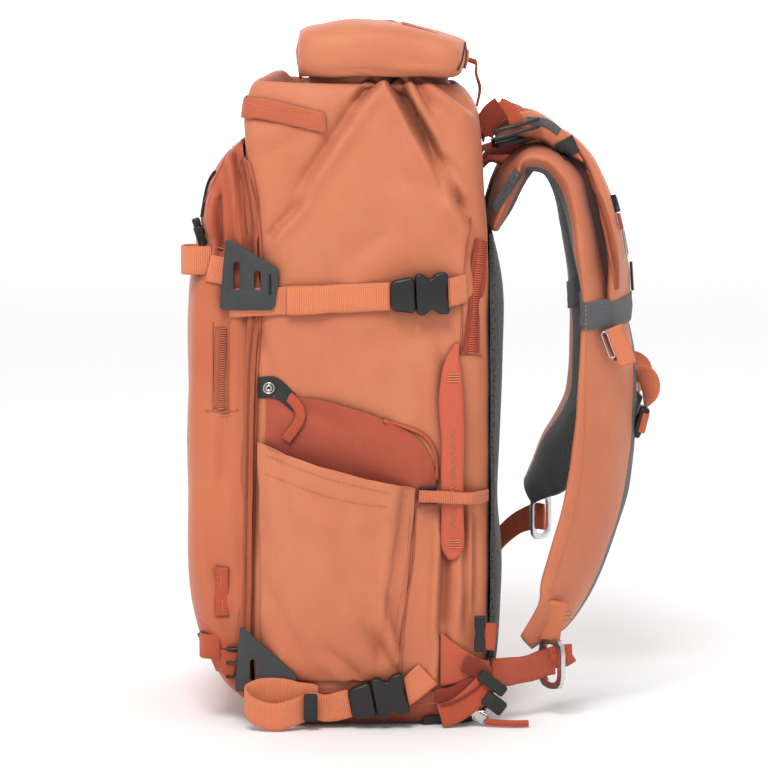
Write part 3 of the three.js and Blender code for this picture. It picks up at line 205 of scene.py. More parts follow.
# %% A finish and its nodes
class Finish:
    """A material whose colour, roughness and relief are worked out by sums"""

    def __init__(self, name, roughness, **uniform):
        self.material = bpy.data.materials.new(name)
        self.material.use_nodes = True
        self.tree = self.material.node_tree
        self.shader = self.tree.nodes["Principled BSDF"]
        self.shader.inputs["Roughness"].default_value = roughness
        for socket, value in uniform.items():
            self.shader.inputs[socket.replace("_", " ")].default_value = value
        self.place = self.node("ShaderNodeTexCoord", {}, {}, "Object")
        self.x, self.y, self.z = self.parts(self.place)

    def node(self, kind, settings, sockets, output=0):
        """Makes a node: its settings first, then the values or links of its sockets"""
        made = self.tree.nodes.new(kind)
        for key, value in settings.items():
            setattr(made, key, value)
        for key, value in sockets.items():
            if isinstance(value, Link):
                self.tree.links.new(value.socket, made.inputs[key])
            else:
                made.inputs[key].default_value = value
        return Link(self, made.outputs[output])

    def parts(self, vector):
        """The three numbers of a vector"""
        return [self.node("ShaderNodeSeparateXYZ", {}, {0: vector}, i) for i in range(3)]

    def math(self, operation, *terms):
        return self.node("ShaderNodeMath", {"operation": operation}, dict(enumerate(terms)))

    def noise(self, per_metre, detail=2, distortion=0, stretch=(1, 1, 1)):
        place = self.node("ShaderNodeVectorMath", {"operation": "MULTIPLY"}, {0: self.place, 1: stretch})
        sockets = {"Vector": place, "Scale": per_metre, "Detail": detail, "Distortion": distortion}
        return self.node("ShaderNodeTexNoise", {}, sockets)

    def cells(self, per_metre):
        sockets = {"Vector": self.place, "Scale": per_metre}
        return self.node("ShaderNodeTexVoronoi", {"feature": "F1"}, sockets)

    def blend(self, amount, first, second):
        """Goes from one colour to another"""
        return self.node("ShaderNodeMix", {"data_type": "RGBA"}, {0: amount, 6: first, 7: second}, 2)

    def painted_hollow_shade(self, base, crease):
        """Painted shade: deepens a colour where the surface is hollow, from rays that reach 35 mm"""
        openness = self.node("ShaderNodeAmbientOcclusion", {"samples": 6}, {"Distance": 0.035}, 1)
        return self.blend(openness.between(0.15, 0.92), crease, base)

    def colour(self, value):
        self.put("Base Color", value)

    def relief(self, height_mm):
        """Shades the surface as if it rose by a height in millimetres"""
        sockets = {"Strength": 1.0, "Distance": 0.001, "Height": height_mm}
        self.put("Normal", self.node("ShaderNodeBump", {}, sockets))

    def put(self, socket, value):
        if isinstance(value, Link):
            self.tree.links.new(value.socket, self.shader.inputs[socket])
        else:
            self.shader.inputs[socket].default_value = value


def paint(red, green, blue):
    """A colour as a screen shows it, from 0 to 255, turned into the light that a shader wants"""
    parts = [value / 255 for value in (red, green, blue)]
    return (*(v / 12.92 if v <= 0.04045 else ((v + 0.055) / 1.055) ** 2.4 for v in parts), 1)


def even_finish(name, light, dark, grain, roughness, **uniform):
    """A smooth finish whose tone drifts a little, with grain as its changes in a metre"""
    look = Finish(name, roughness, **uniform)
    look.colour(look.blend(look.noise(grain), light, dark))
    return look


pale_floor = even_finish("pale_floor", paint(250, 250, 250), paint(252, 252, 252), 2, 0.9)
floor.data.materials.append(pale_floor.material)
white_screen = Finish("white_screen", 1.0)
white_screen.shader.inputs["Emission Color"].default_value = (1, 1, 1, 1)
white_screen.shader.inputs["Emission Strength"].default_value = 1.0
white_screen.colour(paint(250, 250, 250))
screen.data.materials.append(white_screen.material)
print("floor finish has", len(pale_floor.tree.nodes), "nodes")

# %% [markdown]
# ## Cloth
# The shell is a matt waterproof nylon. Close up it is a plain weave; from a step away you see soft
# wrinkles, a slow change of tone where the coating is thicker, and a faint sheen. The weave could be
# drawn as threads, but at this size relief from two crossed waves does the same for nothing. The colour is
# also darkened to a deep red by how hollow each place is, which is painted shade in the creases.

# %% The cloths
PAINTED_SHADE_SHARE = 0.42  # light of the deepest crease, as a share of the cloth's dark tone


def cloth(name, light, dark, wrinkle=0.5, swell=1.2, thread=0.0011, roughness=0.58):
    """A woven cloth. wrinkle and swell are heights in millimetres, thread a width in metres."""
    look = Finish(name, roughness, Sheen_Weight=0.12, Sheen_Roughness=0.45, Specular_IOR_Level=0.42)
    # painted shade: the colour that the deepest hollows of this cloth are darkened to
    crease = tuple(c * PAINTED_SHADE_SHARE for c in dark[:3]) + (1,)
    turn = 2 * math.pi / thread
    weave = (look.y * turn).sine() * (look.z * turn).sine() + (look.x * turn).sine() * 0.5
    broad = look.noise(7, 2, 0.4)
    hang = look.noise(17, 3, 0.5, (1, 1, 0.45))
    crumple = look.noise(48, 4, 0.3, (1, 1, 0.8))
    speckle = look.noise(900, 1)
    tone = broad * 0.55 + crumple * 0.25 + speckle * 0.25
    base = look.blend(tone.between(0.3, 0.8), light, dark)
    look.colour(look.painted_hollow_shade(base, crease))
    look.relief(weave * 0.035 + hang * swell * 1.6 + crumple * wrinkle + speckle * 0.05)
    return look


shell = cloth("shell_nylon", paint(208, 128, 90), paint(192, 102, 68))
heavy = cloth("heavy_nylon", paint(196, 92, 58), paint(176, 76, 48), 0.3, 0.7, 0.0016)
satin = cloth("satin_webbing", paint(206, 96, 66), paint(184, 76, 50), 0.05, 0.2, 0.0009, 0.5)
print("shell, heavy cloth and satin")

# %% [markdown]
# ## Webbing
# Nylon webbing has coarse ribs across its width. The ribs have to follow the strap round its loops, so they
# can't come from the place in space. Each strap carries a map: across from 0 to 1, and along in
# centimetres. The ribs are waves of the second number.

# %% Webbing and thread
def webbing(name, light, dark, rib=0.16, threads=13, roughness=0.72):
    """Webbing with ribs across it, rib in centimetres"""
    look = Finish(name, roughness, Sheen_Weight=0.15, Specular_IOR_Level=0.3)
    across, along, _ = look.parts(look.node("ShaderNodeUVMap", {"uv_map": "strip"}, {}))
    wave = (along * (math.pi / rib)).sine().size()
    warp = (across * (math.pi * threads)).sine().size()
    edge = ((across - 0.5).size() * 2).between(0.86, 0.97)
    # painted shade: the colour darkens in the grooves between the ribs
    groove_shade = (1 - wave) ** 2
    tone = groove_shade * 0.75 + look.noise(40) * 0.3 + edge * 0.2
    look.colour(look.blend(tone.between(0.05, 0.95), light, dark))
    look.relief(wave * 0.42 + warp * 0.1 - edge * 0.2)
    return look


strap_web = webbing("strap_webbing", paint(230, 138, 96), paint(196, 98, 64))
red_web = webbing("red_webbing", paint(200, 90, 56), paint(156, 60, 38))
shaded_web = webbing("shaded_webbing", paint(150, 56, 36), paint(100, 32, 22))
thin_web = webbing("thin_webbing", paint(222, 128, 90), paint(176, 82, 54), 0.16, 7)
elastic = webbing("woven_elastic", paint(104, 105, 108), paint(66, 67, 70), 0.12, 40, 0.8)
thread = even_finish("thread", paint(232, 152, 108), paint(206, 118, 78), 700, 0.6, Specular_IOR_Level=0.3)
gold_thread = even_finish("gold_thread", paint(206, 140, 78), paint(176, 108, 56), 700, 0.5)
black_thread = even_finish("black_thread", paint(34, 31, 30), paint(18, 16, 15), 700, 0.6)
print("5 webbings and 3 threads are among", len(bpy.data.materials), "finishes so far")

# %% [markdown]
# ## Padding mesh, plastic, rubber and metal
# The side against the wearer is spacer mesh: small open cells in a dark knit. Buckles are moulded black
# plastic with a fine spark-eroded grain. The lashing plates are a laminated rubber, matt and grey. The rings
# are anodised aluminium, whose only mark is fine scratches along the bar.

# %% The other finishes
mesh_cloth = Finish("spacer_mesh", 0.85, Sheen_Weight=0.2)
hole = mesh_cloth.cells(430).between(0.2, 0.5)
mesh_cloth.colour(mesh_cloth.blend(hole, paint(17, 17, 18), paint(66, 66, 67)))
mesh_cloth.relief(hole * 0.5 + mesh_cloth.noise(30) * 0.8)

grey_mesh = Finish("grey_binding", 0.8, Sheen_Weight=0.2)
knit = grey_mesh.cells(520).between(0.2, 0.5)
grey_mesh.colour(grey_mesh.blend(knit, paint(34, 34, 35), paint(78, 79, 81)))
grey_mesh.relief(knit * 0.35)


def moulded(name, light, dark, roughness, grain, **uniform):
    """Moulded plastic or rubber: a fine grain, and handling marks that change its gloss"""
    look = Finish(name, roughness, **uniform)
    marks = look.noise(55, 4, 0.6)
    look.colour(look.blend(marks, light, dark))
    look.put("Roughness", marks * 0.2 + (roughness - 0.1))
    look.relief(look.noise(1500, 2) * grain)
    return look


plastic = moulded("black_acetal", paint(27, 26, 26), paint(17, 16, 16), 0.42, 0.05)
rubber = moulded("foot_rubber", paint(42, 42, 42), paint(28, 28, 28), 0.75, 0.12)
laminate = moulded("lash_laminate", paint(60, 61, 61), paint(46, 48, 48), 0.6, 0.1)
silver = Finish("anodised_aluminium", 0.3, Metallic=1)
scratch = silver.noise(120, 3, 0, (1, 1, 9))
silver.colour(silver.blend(scratch, paint(224, 225, 226), paint(196, 198, 200)))
silver.put("Roughness", scratch * 0.25 + 0.18)
chrome = even_finish("plated_zip", paint(214, 212, 208), paint(176, 174, 170), 200, 0.16, Metallic=1)

by_slot = {
    "shell_cloth": shell, "heavy_cloth": heavy, "webbing": strap_web, "mesh": mesh_cloth,
    "black_plastic": plastic, "rubber": rubber, "lash_plate": laminate, "sleeve": elastic,
    "aluminium": silver,
}
print("a finish for each slot:", ", ".join(by_slot))

# %% [markdown]
# ## From a solid to a piece
# A few helpers carry almost everything. `welded` reads a solid's corners and faces. `make` turns points and
# faces, in millimetres, into an object that rides on the pack. `settle` applies the modifiers, so that what
# follows can measure the finished shape, and `round_edges` gives a sharp piece its small radii.

# %% Points and faces
def welded(node):
    """Corners in millimetres and triangles of a solid, each corner once"""
    bm = bmesh.new()
    bm.from_mesh(frame["nodes"][node].data)
    bmesh.ops.remove_doubles(bm, verts=bm.verts, dist=1e-6)
    points = np.array([v.co for v in bm.verts]) * 1000
    faces = [[v.index for v in face.verts] for face in bm.faces]
    bm.free()
    return points, faces


def make(name, points, faces, look, strip=None):
    """An object from points in millimetres and faces, with its finish and its place on the pack"""
    mesh = bpy.data.meshes.new(name)
    mesh.from_pydata((np.asarray(points, float) * 0.001).tolist(), [], [list(map(int, f)) for f in faces])
    mesh.materials.append(look.material)
    mesh.shade_smooth()
    if strip is not None:
        layer = mesh.uv_layers.new(name="strip")
        corner = [strip[loop.vertex_index] for loop in mesh.loops]
        layer.data.foreach_set("uv", np.asarray(corner, float).ravel())
    made = bpy.data.objects.new(name, mesh)
    scene.collection.objects.link(made)
    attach(made, "root")
    return made


def settle(piece):
    """Applies the modifiers of a piece"""
    graph = bpy.context.evaluated_depsgraph_get()
    finished = bpy.data.meshes.new_from_object(piece.evaluated_get(graph))
    piece.modifiers.clear()
    piece.data = finished
    piece.data.name = piece.name
    return piece


def round_edges(piece, radius, steps, angle):
    """Rounds each edge that is sharper than an angle in degrees, by a radius in millimetres"""
    edge = piece.modifiers.new("edge", "BEVEL")
    edge.width, edge.segments = radius * 0.001, steps
    edge.limit_method, edge.angle_limit = "ANGLE", math.radians(angle)
    return settle(piece)


def turn_out(piece):
    """Turns a closed piece's faces to the outside"""
    bm = bmesh.new()
    bm.from_mesh(piece.data)
    bmesh.ops.recalc_face_normals(bm, faces=bm.faces)
    bm.to_mesh(piece.data)
    bm.free()


def spots(piece):
    """The piece's points in millimetres, and its normals"""
    count = len(piece.data.vertices)
    points, normals = np.empty(count * 3), np.empty(count * 3)
    piece.data.vertices.foreach_get("co", points)
    piece.data.vertices.foreach_get("normal", normals)
    return points.reshape(-1, 3) * 1000, normals.reshape(-1, 3)


def move_spots(piece, points):
    piece.data.vertices.foreach_set("co", (points * 0.001).ravel())
    piece.data.update()


print("main_bag has", len(welded("main_bag")[1]), "triangles")

# %% [markdown]
# ## Soft pieces
# A cloth solid has the right form but flat facets. Its triangles are paired into squares again and a
# subdivision surface rounds them off. Edges sharper than a hem keep a crease, or a thin sheet would melt at
# its rim. After that, a function may push single points, as a sculptor would.

# %% Round off a soft solid
def soften(node, look=None, levels=2, hem=55, keep=0.9):
    """A rounded copy of a soft solid that replaces it. Edges sharper than hem, in degrees, keep a crease."""
    points, faces = welded(node)
    bm = bmesh.new()
    corners = [bm.verts.new(p * 0.001) for p in points]
    for face in faces:
        bm.faces.new([corners[i] for i in face])
    bmesh.ops.recalc_face_normals(bm, faces=bm.faces)
    bm.verts.index_update()
    rim = {tuple(sorted((e.verts[0].index, e.verts[1].index))) for e in bm.edges
           if e.is_manifold and e.calc_face_angle() > math.radians(hem)}
    bmesh.ops.join_triangles(bm, faces=bm.faces, angle_face_threshold=1.2, angle_shape_threshold=2.2)
    crease = bm.edges.layers.float.new("crease_edge")
    for edge in bm.edges:
        if tuple(sorted((edge.verts[0].index, edge.verts[1].index))) in rim:
            edge[crease] = keep
    mesh = bpy.data.meshes.new(node + "_cloth")
    bm.to_mesh(mesh)
    bm.free()
    piece = bpy.data.objects.new(mesh.name, mesh)
    scene.collection.objects.link(piece)
    mesh.materials.append((look or by_slot[slot_of[node]]).material)
    subdivision = piece.modifiers.new("round", "SUBSURF")
    subdivision.levels = subdivision.render_levels = levels
    settle(piece)
    piece.data.shade_smooth()
    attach(piece, "root")
    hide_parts(node)
    return piece


def push(piece, field):
    """Moves each point along its normal by field(points, normals), in millimetres"""
    points, normals = spots(piece)
    move_spots(piece, points + normals * field(points, normals)[:, None])
    return piece


print("soft pieces can be made")

# %% [markdown]
# ## Folds
# A fold in hanging cloth is not a groove. One flank is steep and falls into a valley, the other rolls over
# into a soft ridge. Each row of a fold table is a line on the side of the bag: where it starts and ends, how
# wide its valley is and how deep. A negative width puts the ridge on the other flank. A fold dies away a
# little past both of its ends.

# %% A field of folds
PAST_END = 0.35  # how far a fold runs on, as a share of half its length
RIDGE_SHARE = 0.75  # height of its ridge, as a share of its depth
WAVES = 14  # in a swell


def folds(points, rows):
    """Heights in millimetres at points, from rows of (start, end, width, depth) in y and z"""
    flat = points[:, 1:]
    height = np.zeros(len(points))
    for start, end, wide, deep in rows:
        start, run = np.array(start, float), np.array(end, float) - np.array(start, float)
        share = ((flat - start) @ run) / (run @ run)
        side = ((flat - start) @ np.array([run[1], -run[0]])) / math.sqrt(run @ run)
        fade = np.clip(1 - np.abs(share - 0.5) * 2, -PAST_END, 1) + PAST_END
        fade = np.clip(fade * 1.6, 0, 1) ** 1.5
        valley = np.exp(-np.abs(side / wide) ** 1.35)
        ridge = np.exp(-(((side - 1.7 * wide) / (1.25 * wide)) ** 2))
        height += deep * fade * (RIDGE_SHARE * ridge - valley)
    return height


def ripple(points, seed, size, height):
    """A slow random swell over the cloth, the same in each run. size is a wave's length in millimetres."""
    rng = np.random.default_rng(seed)
    total = np.zeros(len(points))
    for _ in range(WAVES):
        way = rng.normal(size=3)
        way /= np.linalg.norm(way)
        total += np.sin(points @ way * 2 * np.pi / (size * rng.uniform(0.7, 1.6)) + rng.uniform(0, 2 * np.pi))
    return total * height / 4


def swell(piece, seed, size, height):
    """Gives a whole piece a slow swell"""
    return push(piece, lambda points, normals: ripple(points, seed, size, height))


print("fold fields can be made")

# %% [markdown]
# ## Rings
# Webbing and padding are long things: a cross section that travels. Their solids were lofted the same way,
# so the sections can be read back. Starting from one end, the neighbours of a ring of corners are the next
# ring, and a corner of the new ring is the one that two neighbouring corners of the old ring share.

# %% Read the rings of a lofted solid
def unit(vectors):
    return vectors / np.maximum(np.linalg.norm(vectors, axis=-1, keepdims=True), 1e-9)


def walk(points, near, order, seen):
    """The rings from a first ring on, labelled the way round that twists least"""
    layers, seen = [set(order)], set(order) | seen
    while True:
        following = set().union(*(near[c] for c in layers[-1])) - seen
        if len(following) < len(order):
            break
        if len(following) > len(order):
            return None
        layers.append(following)
        seen |= following
    rows = [order]
    for layer in layers[1:]:
        up = [near[c] & layer for c in rows[-1]]
        choices = [[min(up[i - 1 + turn] & up[(i + turn) % len(up)], default=-1) for i in range(len(up))]
                   for turn in (0, 1)]
        choices = [row for row in choices if len(set(row)) == len(row) and -1 not in row]
        if not choices:
            return None
        last = points[rows[-1]]
        rows.append(min(choices, key=lambda row: np.linalg.norm(last - points[row], axis=1).sum()))
    return rows


def rings_of(node):
    """Cross sections of a lofted solid in order, as an array of rings, corners and places"""
    points, faces = welded(node)
    near = [set() for _ in points]
    for face in faces:
        for corner in face:
            near[corner] |= set(face) - {corner}
    # a section of eight corners is closed by a fan, whose middle has eight neighbours
    for corner, around in enumerate(near):
        fan = {f[(f.index(corner) + 1) % 3]: f[(f.index(corner) + 2) % 3] for f in faces if corner in f}
        if len(around) == 8 and len(fan) == 8:
            order = [next(iter(fan))]
            while len(order) < len(fan):
                order.append(fan[order[-1]])
            return points[np.array(walk(points, near, order, {corner}))]
    # one of four corners is closed by two triangles, from which the walk reaches every corner
    for i, first in enumerate(faces):
        for second in faces[i + 1:]:
            shared = set(first) & set(second)
            if len(shared) == 2:
                lone = [c for c in first if c not in shared] + [c for c in second if c not in shared]
                a, b = sorted(shared)
                rows = walk(points, near, [lone[0], a, lone[1], b], set())
                if rows is not None and sum(map(len, rows)) == len(points):
                    return points[np.array(rows)]


def distances(points):
    """How far along its route each point is"""
    return np.concatenate([[0], np.cumsum(np.linalg.norm(np.diff(points, axis=0), axis=1))])


def sampled(marks, along, values):
    """What a route's values are at marks along it"""
    return np.stack([np.interp(marks, along, values[:, k]) for k in range(values.shape[1])], axis=1)


def dense(rings, step):
    """More rings between the given ones, on a smooth curve through their middles"""
    middle = rings.mean(axis=1)
    padded = np.concatenate([[2 * rings[0] - rings[1]], rings, [2 * rings[-1] - rings[-2]]])
    made = []
    for i in range(len(rings) - 1):
        p = padded[i:i + 4]
        centres = p.mean(axis=1)
        gaps = [max(np.linalg.norm(centres[k + 1] - centres[k]), 0.5) for k in range(3)]
        knots = np.cumsum([0] + [gap ** 0.5 for gap in gaps])
        count = max(1, int(round(np.linalg.norm(middle[i + 1] - middle[i]) / step)))
        for t in knots[1] + (knots[2] - knots[1]) * np.arange(count) / count:
            level = list(p)
            for width in (1, 2):
                level = [((knots[k + width] - t) * level[k] + (t - knots[k]) * level[k + 1])
                         / (knots[k + width] - knots[k]) for k in range(len(level) - 1)]
            made.append(((knots[2] - t) * level[0] + (t - knots[1]) * level[1]) / (knots[2] - knots[1]))
    made.append(rings[-1])
    return np.array(made)


print("rings of one strap:", rings_of("compression_web_upper_right").shape)

# %% [markdown]
# ## Lofts and straps
# `loft` skins a list of sections, closes its ends and keeps how far along each section is. A strap's section
# is a flat strip with rounded edges: fourteen points, because a strip with four corners would catch the
# light like a metal bar.

# %% Skin a list of sections
STRIP = [(-1, -0.4), (-1, 0.4), (-0.94, 1), (-0.5, 1), (0, 1), (0.5, 1), (0.94, 1),
         (1, 0.4), (1, -0.4), (0.94, -1), (0.5, -1), (0, -1), (-0.5, -1), (-0.94, -1)]
STRIP_ACROSS = [(a + 1) / 2 for a, _ in STRIP]
WEB_STEP = 2.4  # from one section of a strap to the next


def loft(name, rings, look, across=None, under=None):
    """Skins closed sections. across gives each point's place over the width, from 0 to 1, and under is the
    finish of each section's second half."""
    rings = np.asarray(rings, float)
    count, size = rings.shape[:2]
    faces = []
    for r in range(count - 1):
        for i in range(size):
            j = (i + 1) % size
            faces.append((r * size + i, r * size + j, (r + 1) * size + j, (r + 1) * size + i))
    faces.append(tuple(range(size))[::-1])
    faces.append(tuple((count - 1) * size + i for i in range(size)))
    strip = None
    if across is not None:
        along = distances(rings.mean(axis=1)) / 10
        strip = [(across[i], along[r]) for r in range(count) for i in range(size)]
    piece = make(name, rings.reshape(-1, 3), faces, look, strip)
    turn_out(piece)
    if under:
        piece.data.materials.append(under.material)
        for face in piece.data.polygons[:(count - 1) * size]:
            face.material_index = int(face.index % size >= size // 2)
    return piece


def strip_rings(centres, wide, thick):
    """Sections of a strap from its middles, half widths and half thicknesses, all as vectors"""
    return [[c + w * a + t * b for a, b in STRIP] for c, w, t in zip(centres, wide, thick)]


def strap(node, look=None, wave=0.35, twist=0):
    """A strap of webbing that replaces its solid. twist turns its middle, in degrees."""
    rings = rings_of(node)
    first, second = (np.linalg.norm(rings[:, k] - rings[:, k + 1], axis=1).mean() for k in (0, 1))
    if first < second:
        rings = np.roll(rings, 1, axis=1)
    rings = dense(rings, WEB_STEP)
    wide = (rings[:, 1] - rings[:, 0] + rings[:, 2] - rings[:, 3]) / 4
    thick = (rings[:, 0] + rings[:, 1] - rings[:, 2] - rings[:, 3]) / 4
    half = np.median(np.linalg.norm(thick, axis=1))
    thick = thick / np.linalg.norm(thick, axis=1)[:, None] * half
    centres = rings.mean(axis=1)
    if twist:
        ahead = unit(np.gradient(centres, axis=0))
        turn = math.radians(twist) * np.sin(np.pi * np.linspace(0, 1, len(rings)))[:, None]
        wide, thick = (v * np.cos(turn) + np.cross(ahead, v) * np.sin(turn) for v in (wide, thick))
    sections = strip_rings(centres, wide * 0.985, thick)
    piece = loft(node + "_woven", sections, look or by_slot[slot_of[node]], STRIP_ACROSS)
    swell(piece, 3, 30, wave)
    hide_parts(node)
    return piece


print("straps can be made")

# %% [markdown]
# ## The bag
# The main bag is one tall shell with a stiff front lip and a gusset that folds in under the roll. The folds
# make a tent shape on the side: one long crease runs down to the rear seam, a shorter one beside it, and one
# runs forward to the lip. They are pushed into the rounded shell from a fold table, and below them the cloth
# hangs in slack upright folds behind the side pocket.

# %% Bag
BAG_FOLDS = [
    # start (y, z), end (y, z), width, depth
    ((12, 580), (88, 442), 6, 10), ((14, 578), (46, 515), -5, 7.5), ((44, 524), (62, 466), -5, 5),
    ((44, 576), (94, 536), 5, 7), ((28, 580), (52, 540), 4, 5), ((8, 580), (-66, 470), -6, 6),
    ((20, 582), (-14, 548), 4, 4), ((-92, 428), (-60, 464), 4.5, 4.5), ((-60, 520), (-96, 500), 8, 2),
    ((30, 486), (90, 452), 9, 2.6), ((-40, 400), (20, 440), 11, 2.2), ((60, 500), (92, 470), 5, 3),
    ((66, 186), (61, 80), 4.5, 9), ((80, 200), (83, 90), 4.5, 9), ((91, 190), (92, 100), 3.6, 7),
    ((73, 190), (73, 110), -4, 4), ((64, 80), (60, 34), 4, 4),
    ((-20, 330), (70, 356), 12, 2.4), ((58, 350), (74, 240), 7, 3), ((-98, 350), (-84, 296), 6, 2.6),
    ((-30, 540), (20, 470), 14, 2.4), ((86, 430), (96, 330), 6, 2.5), ((-70, 456), (-30, 380), 11, 2),
]


def refine(piece):
    """Cuts the outer faces of the two sides finer, where the folds are"""
    bm = bmesh.new()
    bm.from_mesh(piece.data)
    sides = [f for f in bm.faces if abs(f.normal.x) > 0.45 and f.normal.x * f.calc_center_median().x > 0]
    edges = list({edge for face in sides for edge in face.edges})
    bmesh.ops.subdivide_edges(bm, edges=edges, cuts=1, use_grid_fill=True, smooth=0)
    bmesh.ops.triangulate(bm, faces=[f for f in bm.faces if len(f.verts) > 4])
    bm.to_mesh(piece.data)
    bm.free()
    piece.data.shade_smooth()
    return piece


def side_folds(rows, seed, height, size=70):
    """Folds for both walls of a shell's sides, which move together"""
    def field(points, normals):
        facing = np.sign(points[:, 0] * normals[:, 0]) * np.clip(np.abs(normals[:, 0]) * 1.6 - 0.3, 0, 1)
        outer = np.sign((points * normals)[:, :2].sum(axis=1))
        return folds(points, rows) * facing + ripple(points, seed, size, height) * outer
    return field


bag = refine(soften("main_bag", hem=75, keep=0.35))
push(bag, side_folds(BAG_FOLDS, 5, 0.55))
print("bag:", len(bag.data.polygons), "faces")

# %% [markdown]
# ## Roll, lap and lip
# The collar is folded flat and rolled down, so what you see is a pillow of cloth with one free edge behind.
# A strap over its middle holds it down. The solid's outline is a little simple, so the pillow is stretched
# to a front and a back edge, each given by its distance from the middle at a few heights. The front lip
# carries a flap of the deeper cloth over the top zip.

# %% Roll top and front flap
SKIN_GAP = 0.35  # between a thin sheet and what it lies on
ROLL_LOW, ROLL_HIGH = 570, 612
ROLL_CROWN, CROWN_RISE = 585, 3.5  # above this height the roll is lifted, by up to so much
ROLL_EDGES = {
    # way along y: where the stretch starts, heights, and the distance of the edge there
    1: (40, (570, 598, 612), (79, 86, 60)),
    -1: (44, (570, 612), (67, 66)),
}
ROLL_FOLDS = [
    ((-40, 574), (64, 570), 4, 1.6), ((20, 583), (78, 578), 4, 1.2), ((-58, 606), (20, 612), 7, 1.2),
]


def stretch_roll(piece):
    """Stretches the front and the back of the roll to their edges, and lifts its crown"""
    points, _ = spots(piece)
    levels = np.linspace(ROLL_LOW, ROLL_HIGH, 22)
    for way, (hold, heights, places) in ROLL_EDGES.items():
        reach = np.array([(way * points[np.abs(points[:, 2] - z) < 3, 1]).max() for z in levels])
        edge = np.interp(levels, heights, places)
        stretch = np.clip((edge - hold) / np.maximum(reach - hold, 4), 0.8, 1.6)
        past = np.maximum(way * points[:, 1] - hold, 0)
        points[:, 1] += way * past * (np.interp(points[:, 2], levels, stretch) - 1)
    points[:, 2] += CROWN_RISE * np.clip((points[:, 2] - ROLL_CROWN) / 25, 0, 1)
    move_spots(piece, points)


def draw_in(piece, under, thick, reach=16):
    """Draws a thin sheet in until it lies on what is under it"""
    faces = [list(face.vertices) for face in under.data.polygons]
    tree = BVHTree.FromPolygons([Vector(p) for p in spots(under)[0]], faces)
    points, normals = spots(piece)
    moved = points.copy()
    for i, (point, normal) in enumerate(zip(points, normals)):
        place, _, _, gap = tree.find_nearest(Vector(point))
        way = np.array(place) - point
        if 0.1 < gap < reach:
            rest = SKIN_GAP if way @ normal > 0 else SKIN_GAP + thick
            moved[i] = point + way / gap * max(0, gap - rest)
    move_spots(piece, moved)


roll = soften("roll_top", hem=80, keep=0.3)
push(roll, lambda p, n: folds(p, ROLL_FOLDS) * np.clip(np.abs(n[:, 0]) * 1.5, 0, 1) + ripple(p, 11, 55, 0.8))
stretch_roll(roll)
lap = soften("roll_lap", levels=3)
flap_cloth = cloth("flap_nylon", paint(192, 98, 64), paint(172, 78, 50), 0.3, 0.8)
soften("front_band", look=flap_cloth)
hold_down = strap("roll_strap", red_web)
draw_in(lap, roll, 2.0)
draw_in(hold_down, lap, 1.2, 9)
print("roll:", len(roll.data.polygons), "faces")

# %% [markdown]
# ## Front pocket and boot
# The front pocket is a box of shell cloth. Its lowest hand's breadth and the boot under the bag are of the
# heavier cloth, which takes the wear. The border between the two cloths on the pocket is a seam in the
# colour, so it is mixed inside one finish by height. The small pouch on top is a deeper red in the same way.

# %% Front pocket in two cloths
BORDER = 73  # the seam between the two cloths, above the ground
BORDER_TURN = 124  # in front of the middle, where that seam starts to climb
POUCH_FOOT = 402

pocket_cloth = cloth("pocket_nylon", paint(198, 108, 72), paint(176, 84, 54))
forward = pocket_cloth.y * -1000 - BORDER_TURN
border = BORDER + pocket_cloth.math("MAXIMUM", forward, 0.0) * 0.7
above = (pocket_cloth.z * 1000 - border).between(-0.4, 0.4)
worn = pocket_cloth.blend(pocket_cloth.noise(7, 2).between(0.3, 0.8), paint(200, 98, 64), paint(182, 80, 52))
drift = pocket_cloth.noise(7, 2, 0.4).between(0.25, 0.8)
body = pocket_cloth.blend(drift, paint(202, 114, 76), paint(184, 90, 58))
pouch_share = (pocket_cloth.z * 1000 - POUCH_FOOT).between(0, 14) * 0.7
body = pocket_cloth.blend(pouch_share, body, paint(182, 84, 52))
# painted shade: the pocket's colour darkens to a deep red in its hollows
pocket_cloth.colour(pocket_cloth.painted_hollow_shade(pocket_cloth.blend(above, worn, body), paint(96, 36, 22)))

POCKET_FOLDS = [
    ((-119, 508), (-108, 410), 4, 8), ((-128, 500), (-120, 412), -4.5, 6), ((-136, 474), (-133, 416), 3.4, 9),
    ((-103, 480), (-101, 400), 3.5, 5), ((-112, 500), (-106, 404), -3.5, 4),
    ((-112, 380), (-112, 250), 5, 2.6), ((-128, 392), (-126, 300), -5, 3), ((-146, 380), (-150, 250), 8, 2.4),
    ((-119, 205), (-116, 140), 3.5, 2.6), ((-140, 140), (-124, 84), 6, 3), ((-112, 210), (-110, 90), 4, 2),
    ((-152, 240), (-140, 120), 9, 2.2), ((-126, 290), (-132, 210), 6, 2.4),
]
front_pocket = refine(soften("front_pocket", look=pocket_cloth, hem=80, keep=0.5))
push(front_pocket, side_folds(POCKET_FOLDS, 23, 0.8, 60))
boot = soften("base_panel", look=heavy, hem=80, keep=0.4)
print("pocket and boot:", len(front_pocket.data.polygons), len(boot.data.polygons), "faces")

# %% [markdown]
# ## Side pockets and the panels behind them
# Each side pocket is a slack sheet with a free top edge. Behind it lies a stretch panel of a redder cloth.
# The slack gathers low at the back seam.

